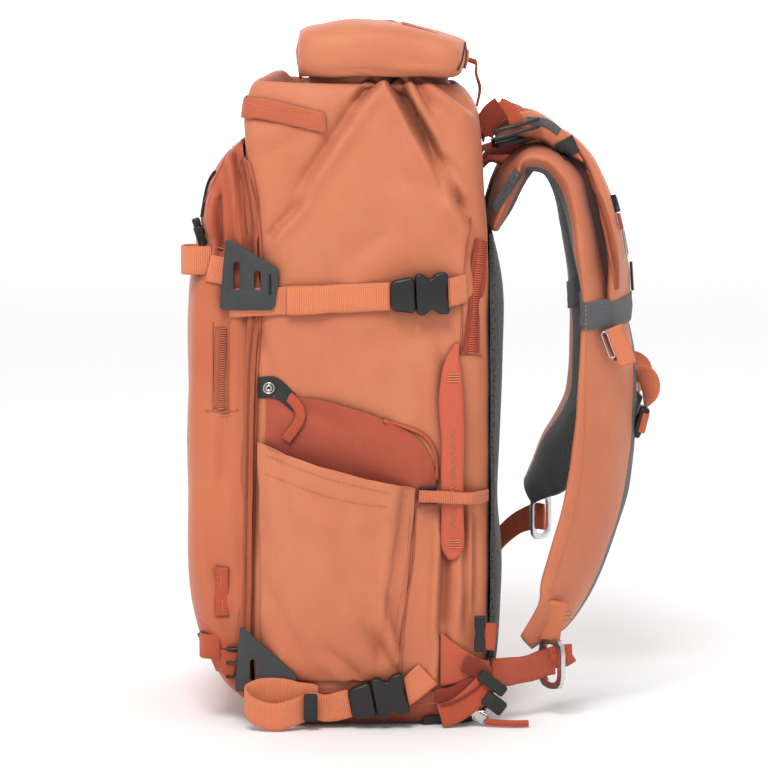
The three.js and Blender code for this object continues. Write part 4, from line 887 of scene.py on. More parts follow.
# %% Side pockets
SIDE_FOLDS = [
    ((30, 215), (20, 80), 6, 4.2), ((14, 120), (30, 50), 5, 4.6), ((-6, 90), (24, 46), -6, 4),
    ((-84, 244), (-70, 160), 7, 2.2), ((-90, 120), (-60, 60), 8, 2.8), ((-40, 70), (-10, 44), 6, 3),
    ((24, 170), (6, 60), -5, 3.6), ((-60, 210), (-20, 190), 9, 2), ((-30, 160), (10, 60), 10, 2.2),
]
PANEL_FOLDS = [((-60, 282), (-20, 262), 5, 1.4), ((20, 262), (50, 232), 5, 1.6)]
inner_cloth = cloth("stretch_panel", paint(186, 86, 58), paint(150, 54, 36), 0.3, 0.8)
for _, side_name in SIDES:
    pouch = soften("side_pocket_" + side_name, levels=3)
    push(pouch, side_folds(SIDE_FOLDS, 31, 0.6, 45))
    panel = soften("inner_pocket_" + side_name, look=inner_cloth, levels=3)
    push(panel, side_folds(PANEL_FOLDS, 37, 0.5, 40))
print("side pockets:", len(pouch.data.polygons), "faces each")

# %% [markdown]
# ## The back
# The panel against the wearer is foam under mesh, with a channel for air along the spine. It is the one
# large padded piece of the bag. Below it a small wing of heavy cloth on each side takes the strap's end.

# %% Back panel and wings
back_pad = soften("back_panel", hem=60, keep=0.5)
swell(back_pad, 41, 90, 0.6)
for _, side_name in SIDES:
    soften("hip_wing_" + side_name, look=heavy)
print("back panel:", len(back_pad.data.polygons), "faces")

# %% [markdown]
# ## All the webbing
# Every strap solid is read as rings and skinned again with a woven strip. The side handle is a satin tape
# with no ribs, and the thin straps have finer ribs than the wide ones.

# %% Straps
for _, side_name in SIDES:
    for level in ("upper", "lower"):
        strap(f"compression_web_{level}_{side_name}", strap_web)
        strap(f"anchor_web_{level}_{side_name}")
    strap("pocket_strap_" + side_name, thin_web)
    strap("lifter_web_" + side_name, red_web, twist=30)
    strap("sternum_web_" + side_name, thin_web, twist=62)
    strap("lower_web_" + side_name, red_web, wave=0.8)
strap("haul_loop", red_web, twist=48)
strap("side_handle", satin)

# %% [markdown]
# ## Hard pieces
# Buckles, plates and rings are already the right shape, but a moulding has no sharp edges. Their flat faces
# are joined again, and each edge gets a small radius.

# %% Round the edges of a hard solid
def harden(node, radius=0.8, steps=3):
    """A copy of a hard solid with rounded edges, which replaces it"""
    points, faces = welded(node)
    piece = make(node + "_moulded", points, faces, by_slot[slot_of[node]])
    bm = bmesh.new()
    bm.from_mesh(piece.data)
    bmesh.ops.recalc_face_normals(bm, faces=bm.faces)
    bmesh.ops.dissolve_limit(bm, angle_limit=math.radians(4), verts=bm.verts, edges=bm.edges)
    bm.to_mesh(piece.data)
    bm.free()
    round_edges(piece, radius, steps, 35)
    piece.data.shade_smooth()
    piece.data.set_sharp_from_angle(angle=math.radians(45))
    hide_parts(node)


for _, side_name in SIDES:
    for level in ("upper", "lower"):
        harden(f"buckle_male_{level}_{side_name}", 2.6, 4)
        harden(f"buckle_female_{level}_{side_name}", 1.7)
        harden(f"lash_plate_{level}_{side_name}", 0.5, 2)
    harden("ladder_lock_" + side_name, 1.2)
    harden("sternum_buckle_" + side_name, 2)
    harden("ring_buckle_" + side_name, 1.6, 4)
    for end in ("front", "back"):
        harden(f"corner_foot_{end}_{side_name}", 0.7)

# %% [markdown]
# ## Shoulder pads
# A shoulder strap is a foam core with mesh on the wearer's side and cloth outside, closed by a seam along
# its edge. The section has twenty-four points: the wearer's half takes the mesh and the outer half the
# cloth. The second layer on top is a slim zipped pocket of the same cloth. An elastic band holds both
# together. Elastic lies taut, so its section is the convex outline of what it goes round.

# %% Sections of a shoulder strap
ARM_HOLE = np.array([0, 150, 320])  # about the middle of the gap that the arm goes through


def from_top(node):
    """The rings of a harness solid from its upper end down"""
    rings = rings_of(node)
    return rings[::-1] if rings[0][:, 2].mean() < rings[-1][:, 2].mean() else rings


def rounded(count, across_power, up_power):
    """Points round a section from -1 to 1. A power of 1 gives an ellipse, and a smaller one is boxier."""
    turns = 2 * math.pi * np.arange(count) / count
    across, up = np.cos(turns)[:, None], np.sin(turns)[:, None]
    return np.copysign(np.abs(across) ** across_power, across), np.copysign(np.abs(up) ** up_power, up)


def section(rings, power):
    """Rounded sections of 24 points that fill the solid's rings of eight corners"""
    across_part, up_part = rounded(24, power, power)
    made = []
    for ring in rings:
        side_way, out_way = unit(ring[4] - ring[0]), unit(ring[5:8].sum(axis=0) - ring[1:4].sum(axis=0))
        middle = (ring[0] + ring[4]) / 2
        if np.dot(out_way, middle - ARM_HOLE) < 0:
            out_way = -out_way
        across, up = (ring - middle) @ side_way, (ring - middle) @ out_way
        centre = middle + side_way * (across.max() + across.min()) / 2 + out_way * (up.max() + up.min()) / 2
        wide, high = side_way * (across.max() - across.min()) / 2, out_way * (up.max() - up.min()) / 2
        made.append(centre + wide * across_part + high * up_part)
    return np.array(made)


print("a section has", len(rounded(24, 1, 1)[0]), "points")

# %% Pad and zipped layer
TIP_LENGTH = 20  # the sewn point of a strap, past its foam
TIP_SHARE = 0.62  # its width, as a share of the foam's
POCKET_LENGTH = 186  # height that the zipped layer spans, down to just under the elastic band
TAPER = 6  # sections in which that layer thins out to its end


def padded_strap(side_name):
    """The foam strap, and the rings that it was made from"""
    rings = from_top("shoulder_pad_" + side_name)
    tip = rings[-1].mean(axis=0)
    onward = unit(tip - rings[-2].mean(axis=0))
    rings = dense(np.concatenate([rings, [tip + (rings[-1] - tip) * TIP_SHARE + onward * TIP_LENGTH]]), 5)
    sections = section(rings, 2 / 2.9)
    pad = loft(f"shoulder_pad_{side_name}_sewn", sections, shell, under=grey_mesh)
    swell(pad, 51, 42, 0.5)
    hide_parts("shoulder_pad_" + side_name)
    return pad, rings


def zipped_layer(side_name):
    """The slim pocket on the foam strap"""
    rings = dense(from_top("strap_pocket_" + side_name), 4)
    heights = rings[:, :, 2].mean(axis=1)
    rings = rings[:int(np.argmax(heights < heights.max() - POCKET_LENGTH)) or len(rings)]
    for i in range(1, TAPER):
        ring = rings[-i]
        walls = (ring[1:4].mean(axis=0), ring[5:8].mean(axis=0))
        foot = min(walls, key=lambda wall: np.linalg.norm(wall - ARM_HOLE))
        rings[-i] = foot + (ring - foot) * (0.35 + 0.65 * (i / TAPER) ** 0.6)
    cover = loft(f"strap_pocket_{side_name}_sewn", section(rings, 2 / 3.2), shell)
    swell(cover, 57, 34, 0.6)
    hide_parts("strap_pocket_" + side_name)
    return cover


print("each strap gets a sewn tip of", TIP_LENGTH, "mm, and a zipped layer", POCKET_LENGTH, "mm high")

# %% Elastic band
BAND_WIDTH = 24
BAND_SHIFT = np.array((0, -2, 9))  # it sits above the middle of its solid
BAND_UP = np.array((0, 0.19, 0.98))  # it is worn a little aslant
BAND_LIFT = 1.1  # how far it stands off the strap
BAND_POINTS = 72  # round it


def elastic_band(side_name, rings, pad, cover):
    """The band round the strap, on the convex outline of what it holds"""
    centre = np.mean(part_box("strap_band_" + side_name), axis=0) * 1000 + BAND_SHIFT
    nearest = rings[np.argmin(np.linalg.norm(rings.mean(axis=1) - centre, axis=1))]
    side_way = unit(nearest[4] - nearest[0])
    ahead = unit(BAND_UP - side_way * (BAND_UP @ side_way))
    out_way = unit(np.cross(side_way, ahead))
    out_way = out_way * np.sign(out_way[1])
    held = np.concatenate([spots(pad)[0], spots(cover)[0]]) - centre
    flat = np.stack([held @ side_way, held @ out_way, held @ ahead], axis=1)
    rows = []
    for along in np.linspace(-BAND_WIDTH / 2, BAND_WIDTH / 2, 7):
        level = flat[np.abs(flat[:, 2] - along) < 6][:, :2]
        row = []
        for turn in np.arange(BAND_POINTS) * 2 * math.pi / BAND_POINTS:
            way = np.array((math.cos(turn), math.sin(turn)))
            sideways, out = level[np.argmax(level @ way)] + way * BAND_LIFT
            row.append(centre + side_way * sideways + out_way * out + ahead * along)
        rows.append(row)
    across = np.arange(BAND_POINTS) / BAND_POINTS
    band = loft(f"strap_band_{side_name}_cloth", rows, elastic, across)
    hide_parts("strap_band_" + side_name)


for _, side_name in SIDES:
    pad, rings = padded_strap(side_name)
    elastic_band(side_name, rings, pad, zipped_layer(side_name))
print("pad:", len(pad.data.polygons), "faces")

# %% [markdown]
# ## Seating trim by line of sight
# Zips, seams and stitches are only a few millimetres tall. Each one is given as it is seen: a short list of
# pixels. A ray through every pixel finds the cloth behind it, so the trim follows each fold. The far side
# gets the same trim from the mirrored ray. The points found are then averaged with their neighbours, because
# a sewn line is smoother than the cloth under it.

# %% Points on the dressed cloth
TRACE_STEP = 1.6  # between the points of a route, in millimetres
SMOOTHING = 14  # rounds in which each point moves toward its neighbours
MOST_ASIDE = 60  # pixels to search beside a line of sight that meets nothing


def skin(*names):
    """A search tree, in millimetres, over dressed pieces"""
    points, faces = [], []
    for name in names:
        mesh = bpy.data.objects[name].data
        first = len(points)
        points += [v.co * 1000 for v in mesh.vertices]
        faces += [[first + i for i in face.vertices] for face in mesh.polygons]
    return BVHTree.FromPolygons(points, faces)


def smooth_route(corners, step):
    """A smooth curve through corners, in even steps of about the given length"""
    corners = np.array(corners, float)
    if len(corners) == 2:
        count = max(2, int(np.linalg.norm(corners[1] - corners[0]) / step) + 1)
        return corners[0] + (corners[1] - corners[0]) * np.linspace(0, 1, count)[:, None]
    curve = dense(corners[:, None, :], step / 3)[:, 0]
    along = distances(curve)
    return sampled(np.linspace(0, along[-1], max(2, int(along[-1] / step) + 1)), along, curve)


def cloth_behind(px, py, tree, side):
    """The cloth's point behind a pixel, and its normal. Past the outline it is the nearest beside it."""
    for aside in range(MOST_ASIDE):
        start, way = pixel_ray(px + aside * (1 if aside % 2 else -1), py)
        mirror = Vector((side, 1, 1))
        hit, normal, _, _ = tree.ray_cast(start * mirror, way * mirror)
        if hit is not None:
            return hit, normal if normal.x * side > 0 else -normal


def trace(pixels, tree, side=1):
    """Points and normals of the cloth behind a line of pixels, on the near side (1) or the far side (-1)"""
    found = [cloth_behind(px, py, tree, side) for px, py in smooth_route(pixels, TRACE_STEP / PIXEL_MM)]
    points, normals = (np.array(values) for values in zip(*found))
    for _ in range(SMOOTHING):
        for line in (points, normals):
            line[1:-1] = (line[:-2] + 2 * line[1:-1] + line[2:]) / 4
    return points, normals / np.linalg.norm(normals, axis=1)[:, None]


side_cloth = skin("main_bag_cloth", "front_pocket_cloth", "base_panel_cloth", "side_pocket_right_cloth",
                  "side_pocket_left_cloth", "inner_pocket_right_cloth", "inner_pocket_left_cloth",
                  "front_band_cloth", "back_panel_cloth", "hip_wing_right_cloth", "hip_wing_left_cloth")
sample = trace([(300, 520), (380, 540)], side_cloth)[0][:, 0]
print("a line across the side pocket lies at x", sample.min().round(1), "to", sample.max().round(1))

# %% [markdown]
# ## Four kinds of trim
# A tape is a thin strip that lies on the cloth. A tube is a cord, a wire or piping. A row of short rounded
# rods is either a line of stitches, laid along the route, or the coil of a zip, laid across it.

# %% Tape, tube and rods
TUBE_SIDES, ROD_SIDES = 10, 6
ROD_RINGS = ((0, 0.35), (0.12, 0.9), (0.5, 1), (0.88, 0.9), (1, 0.35))  # shares of the way and the radius


def tape(name, points, normals, width, thick, look, slot, lift=0.1):
    """A strip that lies on the cloth"""
    ahead = unit(np.gradient(points, axis=0))
    aside = unit(np.cross(ahead, normals)) * width / 2
    middle = points + normals * (lift + thick / 2)
    return loft(name, strip_rings(middle, aside, normals * thick / 2), look, STRIP_ACROSS)


def tube(name, path, radius, look, closed=False):
    """A round cord or wire along a path in millimetres"""
    path, sides = np.array(path, float), TUBE_SIDES
    ahead = unit(np.gradient(path, axis=0))
    if closed:
        ahead = unit(np.roll(path, -1, axis=0) - np.roll(path, 1, axis=0))
    helper = unit(np.cross(ahead[0], (0.3, 0.5, 0.81)))
    rings = []
    for point, way in zip(path, ahead):
        helper = unit(helper - way * (helper @ way))
        other = np.cross(way, helper)
        turns = 2 * np.pi * np.arange(sides) / sides
        rings.append(point + radius * (np.cos(turns)[:, None] * helper + np.sin(turns)[:, None] * other))
    if not closed:
        return loft(name, rings, look, [k / sides for k in range(sides)])
    faces = [(r * sides + i, r * sides + (i + 1) % sides, (r + 1) % len(path) * sides + (i + 1) % sides,
              (r + 1) % len(path) * sides + i) for r in range(len(path)) for i in range(sides)]
    piece = make(name, np.concatenate(rings), faces, look, [(0.5, 0)] * (len(path) * sides))
    turn_out(piece)
    return piece


def rods(name, starts, ends, ups, radius, look, arch=0.35):
    """Many short round rods, each raised a little at its middle"""
    points, faces = [], []
    for start, end, up in zip(starts, ends, ups):
        way = unit(end - start)
        aside = np.cross(way, up)
        first = len(points)
        for t, share in ROD_RINGS:
            middle = start + (end - start) * t + up * arch * math.sin(math.pi * t)
            for k in range(ROD_SIDES):
                turn = 2 * math.pi * k / ROD_SIDES
                points.append(middle + radius * share * (math.cos(turn) * aside + math.sin(turn) * up))
        rows = [range(start, start + ROD_SIDES) for start in range(first, len(points), ROD_SIDES)]
        for low, high in zip(rows, rows[1:]):
            faces += [(low[k - 1], low[k], high[k], high[k - 1]) for k in range(ROD_SIDES)]
        faces += [tuple(rows[0])[::-1], tuple(rows[-1])]
    return make(name, points, faces, look)


def stitch(name, points, normals, look, length=2.6, gap=1.2, radius=0.36):
    """A row of stitches along a route"""
    along = distances(points)
    marks = np.arange(0, along[-1] - length, length + gap)
    ups = unit(sampled(marks + length / 2, along, normals))
    starts, ends = (sampled(marks + past, along, points) + ups * 0.15 for past in (0, length))
    return rods(name, starts, ends, ups, radius, look)


def coil(name, points, normals, look, width, pitch):
    """The coil of a closed zip: rods across the route"""
    along = distances(points)
    marks = np.arange(0, along[-1], pitch)
    ahead, ups = (unit(sampled(marks, along, values)) for values in (np.gradient(points, axis=0), normals))
    aside = unit(np.cross(ahead, ups)) * width / 2
    middle = sampled(marks, along, points) + ups
    ends = middle + aside + ahead * pitch * 0.4
    return rods(name, middle - aside, ends, ups, pitch * 0.4, look, 0.5)


print("tape, tube, stitches and coil")

# %% [markdown]
# ## Zips and seams of the bag
# The back opens by a long arched zip, of which the side shows the end. A second zip opens the front pocket
# all the way down, and a short one lies on its side under a garage of cloth. The tape is a weave and the coil
# stands in its middle. Seams are where two cloths meet. Each is a shallow welt, and hems are double-stitched.

# %% Zips
zip_tape = webbing("zip_tape", paint(188, 78, 50), paint(150, 52, 34), 0.07, 9)
zip_coil = moulded("zip_coil", paint(216, 112, 78), paint(184, 80, 52), 0.35, 0.02)
plain_tape = webbing("plain_tape", paint(200, 108, 72), paint(168, 82, 54), 0.07, 9)
brown_coil = moulded("brown_coil", paint(176, 90, 60), paint(140, 66, 44), 0.4, 0.02)
seam_cloth = cloth("seam_nylon", paint(192, 100, 68), paint(164, 78, 52))
ZIPS = {
    # where it runs, widths of its tape and its coil, pitch, finishes of the tape and the coil
    "back_zip": ([(481, 240), (479, 262), (476, 290), (473, 322), (471, 353)],
                 17, 8.5, 2.0, zip_tape, zip_coil),
    "front_zip": ([(243, 160), (249, 190), (252, 215), (254, 245), (254, 311), (250, 360), (248, 420),
                   (247, 480), (246, 560), (244, 640)], 11, 2.2, 1.3, plain_tape, brown_coil),
    "side_zip": ([(224, 328), (222, 370), (221, 408)], 14, 7, 2.0, plain_tape, pocket_cloth),
}
for side, side_name in SIDES:
    for name, (pixels, width, teeth, pitch, look, teeth_look) in ZIPS.items():
        route = trace(pixels, side_cloth, side)
        tape(f"{name}_tape_{side_name}", *route, width, 0.7, look, "heavy_cloth")
        coil(f"{name}_coil_{side_name}", *route, teeth_look, teeth, pitch)
print(len(ZIPS) * 2, "zips")

# %% Seams, welts and stitches
WELTS = {
    # where it runs, radius of its welt
    "back_seam": ([(471, 219), (467, 245), (464, 280), (462, 318), (461, 353)], 0.9),
    "waist_seam": ([(450, 354), (466, 355), (482, 356)], 0.8),
    # painted shade: a thick welt of the darker seam cloth fills the groove beside the front zip
    "pocket_groove_shade": ([(243, 141), (247, 154), (253, 176), (258, 211), (261, 245), (261, 311), (258, 360),
                       (256, 420), (255, 480), (253, 560), (252, 640)], 2.1),
    "flap_seam": ([(200, 232), (212, 245), (226, 250), (240, 256)], 0.9),
    "garage_seam": ([(206, 411), (222, 412), (238, 410)], 0.8),
    "garage_front": ([(213, 322), (213, 411)], 0.6),
    "garage_back": ([(229, 322), (229, 411)], 0.6),
    "pocket_back_seam": ([(416, 494), (413, 560), (405, 609), (399, 660), (398, 690)], 0.9),
    "pouch_seam": ([(229, 150), (222, 165), (212, 186), (204, 206), (201, 228)], 0.8),
}
STITCHES = {
    # where it runs, thread
    "hem_stitch": ([(265, 455), (285, 463), (319, 476), (355, 486), (408, 497)], gold_thread),
    "hem_stitch_low": ([(265, 474), (319, 494), (355, 503), (408, 509)], gold_thread),
    "back_stitch": ([(410, 515), (407, 560), (399, 609), (393, 660)], thread),
    "garage_stitch": ([(208, 415), (222, 416), (237, 414)], thread),
    "band_stitch": ([(247, 102), (271, 109), (296, 111), (322, 112)], thread),
    "band_stitch_low": ([(248, 118), (269, 124), (295, 128), (322, 129)], thread),
    "boot_stitch": ([(272, 703), (330, 708), (400, 706), (470, 700)], thread),
}
for side, side_name in SIDES:
    for name, (pixels, radius) in WELTS.items():
        points, normals = trace(pixels, side_cloth, side)
        tube(f"{name}_{side_name}", points + normals * radius * 0.3, radius, seam_cloth)
    for name, (pixels, look) in STITCHES.items():
        stitch(f"{name}_{side_name}", *trace(pixels, side_cloth, side), look)
print(len(WELTS) * 2, "seams,", len(STITCHES) * 2, "rows of stitches")

# %% [markdown]
# ## Patches and small parts
# A patch is a small sheet that lies on the cloth between two lines of pixels. It is used for sewn-on tabs and
# bindings. Small mouldings are rounded blocks, built round a frame of three directions: along, across and up.

# %% Patch
PATCH_STEP = 2.5  # width of its squares


def part_way(line, share):
    """The point at a share of a line's length"""
    return line[int(round(share * (len(line) - 1)))]


def patch(name, first, second, look, thick, tree, side, lift=0.1):
    """A small sheet on the cloth between two lines of pixels"""
    one, two = (smooth_route(line, 1.0) for line in (first, second))
    gap = max(np.linalg.norm(np.array(first[end]) - second[end]) for end in (0, -1))
    rows = max(3, int(gap * PIXEL_MM / PATCH_STEP) + 1)
    columns = max(3, int(len(one) * PIXEL_MM / PATCH_STEP) + 1)
    low, high = [], []
    for share in np.linspace(0, 1, rows):
        for t in np.linspace(0, 1, columns):
            px, py = part_way(one, t) * (1 - share) + part_way(two, t) * share
            hit, normal = cloth_behind(px, py, tree, side)
            low.append(np.array(hit + normal * lift))
            high.append(np.array(hit + normal * (lift + thick)))
    total = rows * columns
    grid = np.arange(total).reshape(rows, columns)
    faces = [(grid[r, c], grid[r, c + 1], grid[r + 1, c + 1], grid[r + 1, c])
             for r in range(rows - 1) for c in range(columns - 1)]
    faces += [tuple(total + i for i in face)[::-1] for face in faces]
    border = [*grid[0], *grid[1:, -1], *grid[-1, -2::-1], *grid[-2:0:-1, 0]]
    faces += [(a, b, total + b, total + a) for a, b in zip(border, border[1:] + border[:1])]
    strip = [(r / (rows - 1), c * PATCH_STEP / 10) for r in range(rows) for c in range(columns)] * 2
    piece = make(name, low + high, faces, look, strip)
    turn_out(piece)
    return round_edges(piece, thick * 0.4, 2, 50)


print("patches are made of squares of", PATCH_STEP, "mm")

# %% Block and loop of wire
def square_frame(along, across):
    """Two directions of unit length at right angles"""
    along = unit(np.array(along, float))
    return along, unit(np.array(across, float) - along * (np.array(across, float) @ along))


def block(name, centre, along, across, size, look, slot, radius=1.0, waist=0.0):
    """A rounded moulding: its length, width and height. waist draws its middle in."""
    along, across = square_frame(along, across)
    up = np.cross(along, across)
    bm = bmesh.new()
    bmesh.ops.create_cube(bm, size=1)
    bmesh.ops.subdivide_edges(bm, edges=bm.edges[:], cuts=3, use_grid_fill=True)
    bm.verts.index_update()
    points = []
    for u, v, w in (vert.co for vert in bm.verts):
        v *= 1 - waist * max(0, 1 - (abs(u) * 4) ** 2)
        points.append(np.array(centre) + along * u * size[0] + across * v * size[1] + up * w * size[2])
    faces = [[vert.index for vert in face.verts] for face in bm.faces]
    bm.free()
    piece = round_edges(make(name, points, faces, look), radius, 4, 50)
    piece.data.shade_smooth()
    turn_out(piece)


def wire_loop(name, centre, along, across, long, wide, wire, look, corner=3.0):
    """A closed wire in the shape of a rounded rectangle"""
    along, across = square_frame(along, across)
    corner = min(corner, long / 2 - 0.1, wide / 2 - 0.1)
    path = []
    for quarter, (a, b) in enumerate(((1, 1), (-1, 1), (-1, -1), (1, -1))):
        for turn in np.linspace(0, math.pi / 2, 6) + quarter * math.pi / 2:
            path.append(np.array(centre) + along * (a * (long / 2 - corner) + corner * math.cos(turn))
                        + across * (b * (wide / 2 - corner) + corner * math.sin(turn)))
    tube(name, path, wire / 2, look, closed=True)


def on_cloth(px, py, tree, side):
    """The point behind one pixel, and the three directions there: down, along the side and out"""
    points, normals = trace([(px - 2, py), (px + 2, py)], tree, side)
    out = normals[len(normals) // 2]
    down = unit(np.array((0, 0, -1.0)) + out * out[2])
    return points[len(points) // 2], down, np.cross(down, out) * side, out


def seated(name, pixel, tree, side, lift, size, look, slot, radius=1.0, waist=0.0, level=False, shift=(0, 0)):
    """A block on the cloth behind a pixel, upright or level. shift moves it down and aside."""
    spot, down, aside, out = on_cloth(*pixel, tree, side)
    centre = spot + out * lift + down * shift[0] + aside * shift[1]
    block(name, centre, *((aside, down) if level else (down, aside)), size, look, slot, radius, waist)


print("block, wire loop and seat")

# %% [markdown]
# ## Trim of the sides
# By the side pocket there is a black tab with a plain press stud, a folded loop of webbing for a walking
# pole, and a hook that ends the thin strap. The grab handle is sewn with a zigzag in a paler thread.

# %% Pocket trim
HOOK = {
    # bars of the hook: how far down and aside, whether it lies level, and its size
    "bar": ((0, -5), False, (15, 4.2, 3.4)), "end": ((0, 6), False, (13, 4, 3.4)),
    "top": ((-5.4, 0), True, (15, 4, 3.4)), "foot": ((5.4, 0), True, (15, 4, 3.4)),
}
TACKS = {"upper": [(270, 274), (270, 296)], "lower": [(272, 677), (272, 685)]}
for side, side_name in SIDES:
    patch(f"stud_tab_{side_name}", [(259, 377), (276, 377), (296, 394)], [(259, 398), (276, 399), (295, 413)],
          rubber, 1.2, side_cloth, side)
    spot, down, aside, out = on_cloth(269, 388, side_cloth, side)
    turns = np.linspace(0, 2 * np.pi, 25)[:-1]
    for part, radius, wire in (("rim", 4.6, 1.6), ("cap", 2.2, 2.4)):
        path = [spot + out * 1.7 + radius * (math.cos(t) * down + math.sin(t) * aside) for t in turns]
        tube(f"press_stud_{part}_{side_name}", path, wire / 2, chrome, closed=True)
    route = trace([(289, 396), (295, 402), (301, 411), (302, 417), (296, 427), (286, 440)], side_cloth, side)
    tape(f"pole_loop_{side_name}", *route, 9, 1.6, red_web, "webbing", 1.5)
    edge = [(384, 421), (405, 427), (424, 435), (434, 448), (437, 465), (437, 480)]
    points, normals = trace(edge, side_cloth, side)
    tube(f"panel_binding_{side_name}", points + normals * 0.8, 1.9, heavy)
    for part, (shift, level, size) in HOOK.items():
        seated(f"hook_{part}_{side_name}", (427, 495), side_cloth, side, 2.6, size, plastic, "black_plastic",
               1.2, level=level, shift=shift)
    for level, pixels in TACKS.items():
        plate_skin = skin(f"lash_plate_{level}_{side_name}_moulded", "main_bag_cloth", "base_panel_cloth")
        stitch(f"bar_tack_{level}_{side_name}", *trace(pixels, plate_skin, side), black_thread, 1.2, 0.1, 1.1)
print(len(HOOK), "bars in each hook")

# %% Stitches of the grab handle
ZIGZAG_STEP, ZIGZAG_HALF = 3.7, 2.2
handle_skin = skin("side_handle_woven")
middle = smooth_route(trace([(453, 428), (453, 528)], handle_skin)[0], ZIGZAG_STEP)
out = np.array((1.0, 0, 0))
zig = np.array([p + np.array((0, ZIGZAG_HALF if i % 2 else -ZIGZAG_HALF, 0)) for i, p in enumerate(middle)])
zig += out * 0.25
rods("handle_zigzag", zig[:-1], zig[1:], [out] * (len(zig) - 1), 0.42, gold_thread, 0.1)
for part, top, foot in (("top", 374, 384), ("foot", 540, 550)):
    rows = [trace([(446, y), (461, y)], handle_skin)[0] for y in np.arange(top, foot, 2.5)]
    starts, ends = ([row[end] for row in rows] for end in (0, -1))
    rods(f"handle_tack_{part}", starts, ends, [out] * len(rows), 0.5, thread, 0.5)
print("pocket trim and", len(zig) - 1, "zigzag stitches")

# %% [markdown]
# ## Front webbing
# Lashing straps cross the front pocket, and their ends stand off in loops at its edge. A loop is one strip of
# webbing bent round: its route is a short list of places seen from the side, and its width runs across the
# pack. A bungee cord with a lock hangs from the upper pouch.

# %% Webbing on the front edge
FRONT_LOOPS = {
    # corners in x and y, heights of its edges, finish
    "upper": ([(134, -140), (136, -150), (135, -161), (126, -166), (112, -165), (104, -158), (108, -150)],
              422, 397, strap_web),
    "lower": ([(138, -134), (138, -141), (135, -148), (126, -152), (114, -150), (108, -142)],
              80, 58, red_web),
}
FRONT_TAPES = {
    # where it runs, width, thickness, finish, gap under it
    "front_web_upper": ([(209, 268), (218, 270), (230, 272)], 24, 1.4, strap_web, 0.4),
    "front_web_lower": ([(213, 659), (222, 661), (236, 664)], 24, 1.4, red_web, 0.4),
    "zip_garage": ([(222, 567), (222, 590), (222, 616)], 13, 1.5, red_web, 0.3),
}
WEB_THICK = 1.5


def standing_loop(name, corners, high, low, look, side):
    """A loop of webbing that stands out from the front, with its width upright. corners are x and y."""
    flat = smooth_route([(side * x, y) for x, y in corners], 1.6)
    centres = np.array([(x, y, (high + low) / 2) for x, y in flat])
    ahead = unit(np.gradient(centres, axis=0))
    upright = np.tile((0, 0, (high - low) / 2), (len(centres), 1))
    rings = strip_rings(centres, upright, unit(np.cross(ahead, upright)) * WEB_THICK / 2)
    loft(name, rings, look, STRIP_ACROSS)


for side, side_name in SIDES:
    for level, (corners, high, low, look) in FRONT_LOOPS.items():
        standing_loop(f"front_loop_{level}_{side_name}", corners, high, low, look, side)
    for name, (pixels, width, thick, look, lift) in FRONT_TAPES.items():
        tape(f"{name}_{side_name}", *trace(pixels, side_cloth, side), width, thick, look, "webbing", lift)
    for row in (575, 600):
        points, normals = trace([(222, row), (222, row + 12)], side_cloth, side)
        stitch(f"garage_zigzag_{row}_{side_name}", points + normals * 1.7, normals, thread, 1.6, 0.5, 0.4)
print(len(FRONT_LOOPS), "loops and", len(FRONT_TAPES), "tapes on each side of the front")

# %% Tri-glides, keeper and cord lock
GLIDES = (648, 662, 676)
LOCK = (203, 236)
for side, side_name in SIDES:
    for row in GLIDES:
        seated(f"tri_glide_{row}_{side_name}", (233, row), side_cloth, side, 2.4, (11, 2.4, 2.6), plastic,
               "black_plastic", level=True)
    seated(f"front_keeper_{side_name}", (204, 645), side_cloth, side, 1.6, (24, 8, 2.6), elastic, "sleeve")
    points, normals = trace([(216, 172), (210, 180), (206, 198), (203, 217)], side_cloth, side)
    tube(f"bungee_{side_name}", points + normals * 1.4, 1.3, black_thread)
    seated(f"cord_lock_{side_name}", LOCK, side_cloth, side, 4.2, (22, 12, 9), plastic, "black_plastic", 3.4,
           0.12)
    seated(f"cord_lock_button_{side_name}", LOCK, side_cloth, side, 4.2, (8, 8, 7), plastic, "black_plastic",
           2.6, shift=(-14, 0))
print(len(GLIDES), "bars, a keeper and a cord lock on each side")

# %% [markdown]
# ## Ends of the roll
# Each end of the roll is closed by a narrow binding that stands up as a dark line round its back corner.

# %% Bound ends
roll_skin = skin("roll_top_cloth")
for side, side_name in SIDES:
    points, normals = trace([(465, 43), (463, 52), (461, 62), (457, 70)], roll_skin, side)
    tube(f"roll_edge_{side_name}", points + normals * 0.5, 1.0, black_thread)
print(len(SIDES), "bound ends of the roll")

# %% [markdown]
# ## Harness trim
# At the shoulder the pad, the zipped layer and the load lifter meet under a head of doubled cloth. Under the
# zipped layer its gusset shows as a dark red line, coloured near black as painted shade of the gap there.

# %% Strap head and gusset
HEAD_HALF = 21  # half of its width
HEAD_LEAN = 14  # how far its foot stands outward of its top
HEAD_OUTER = [(497, 133), (508, 122), (522, 115), (536, 114), (549, 118), (564, 129), (577, 145), (588, 163)]
HEAD_INNER = [(499, 141), (508, 138), (520, 138), (536, 142), (548, 146), (560, 153), (572, 157), (587, 166)]
GUSSET_SHARE = 0.66  # width of the gusset, as a share of the zipped layer's


def strap_head(side, side_name):
    """The cloth between the shoulder pad and the zipped layer, over the shoulder"""
    middle_x = from_top("strap_pocket_" + side_name)[0].mean(axis=0)[0]
    outer, inner = (smooth_route([side_place(*p) for p in line], 3) for line in (HEAD_OUTER, HEAD_INNER))
    across_part, up_part = rounded(20, 0.4, 0.5)
    rings = []
    for t in np.linspace(0, 1, 34):
        top, low = part_way(outer, t), part_way(inner, t)
        centre = np.array((middle_x + side * HEAD_LEAN * t, *((top + low) / 2)))
        rise = np.array((0, *((top - low) / 2)))
        rings.append(centre + np.array((HEAD_HALF, 0, 0)) * across_part + rise * up_part)
    swell(loft(f"strap_head_{side_name}", rings, shell), 61, 22, 0.7)


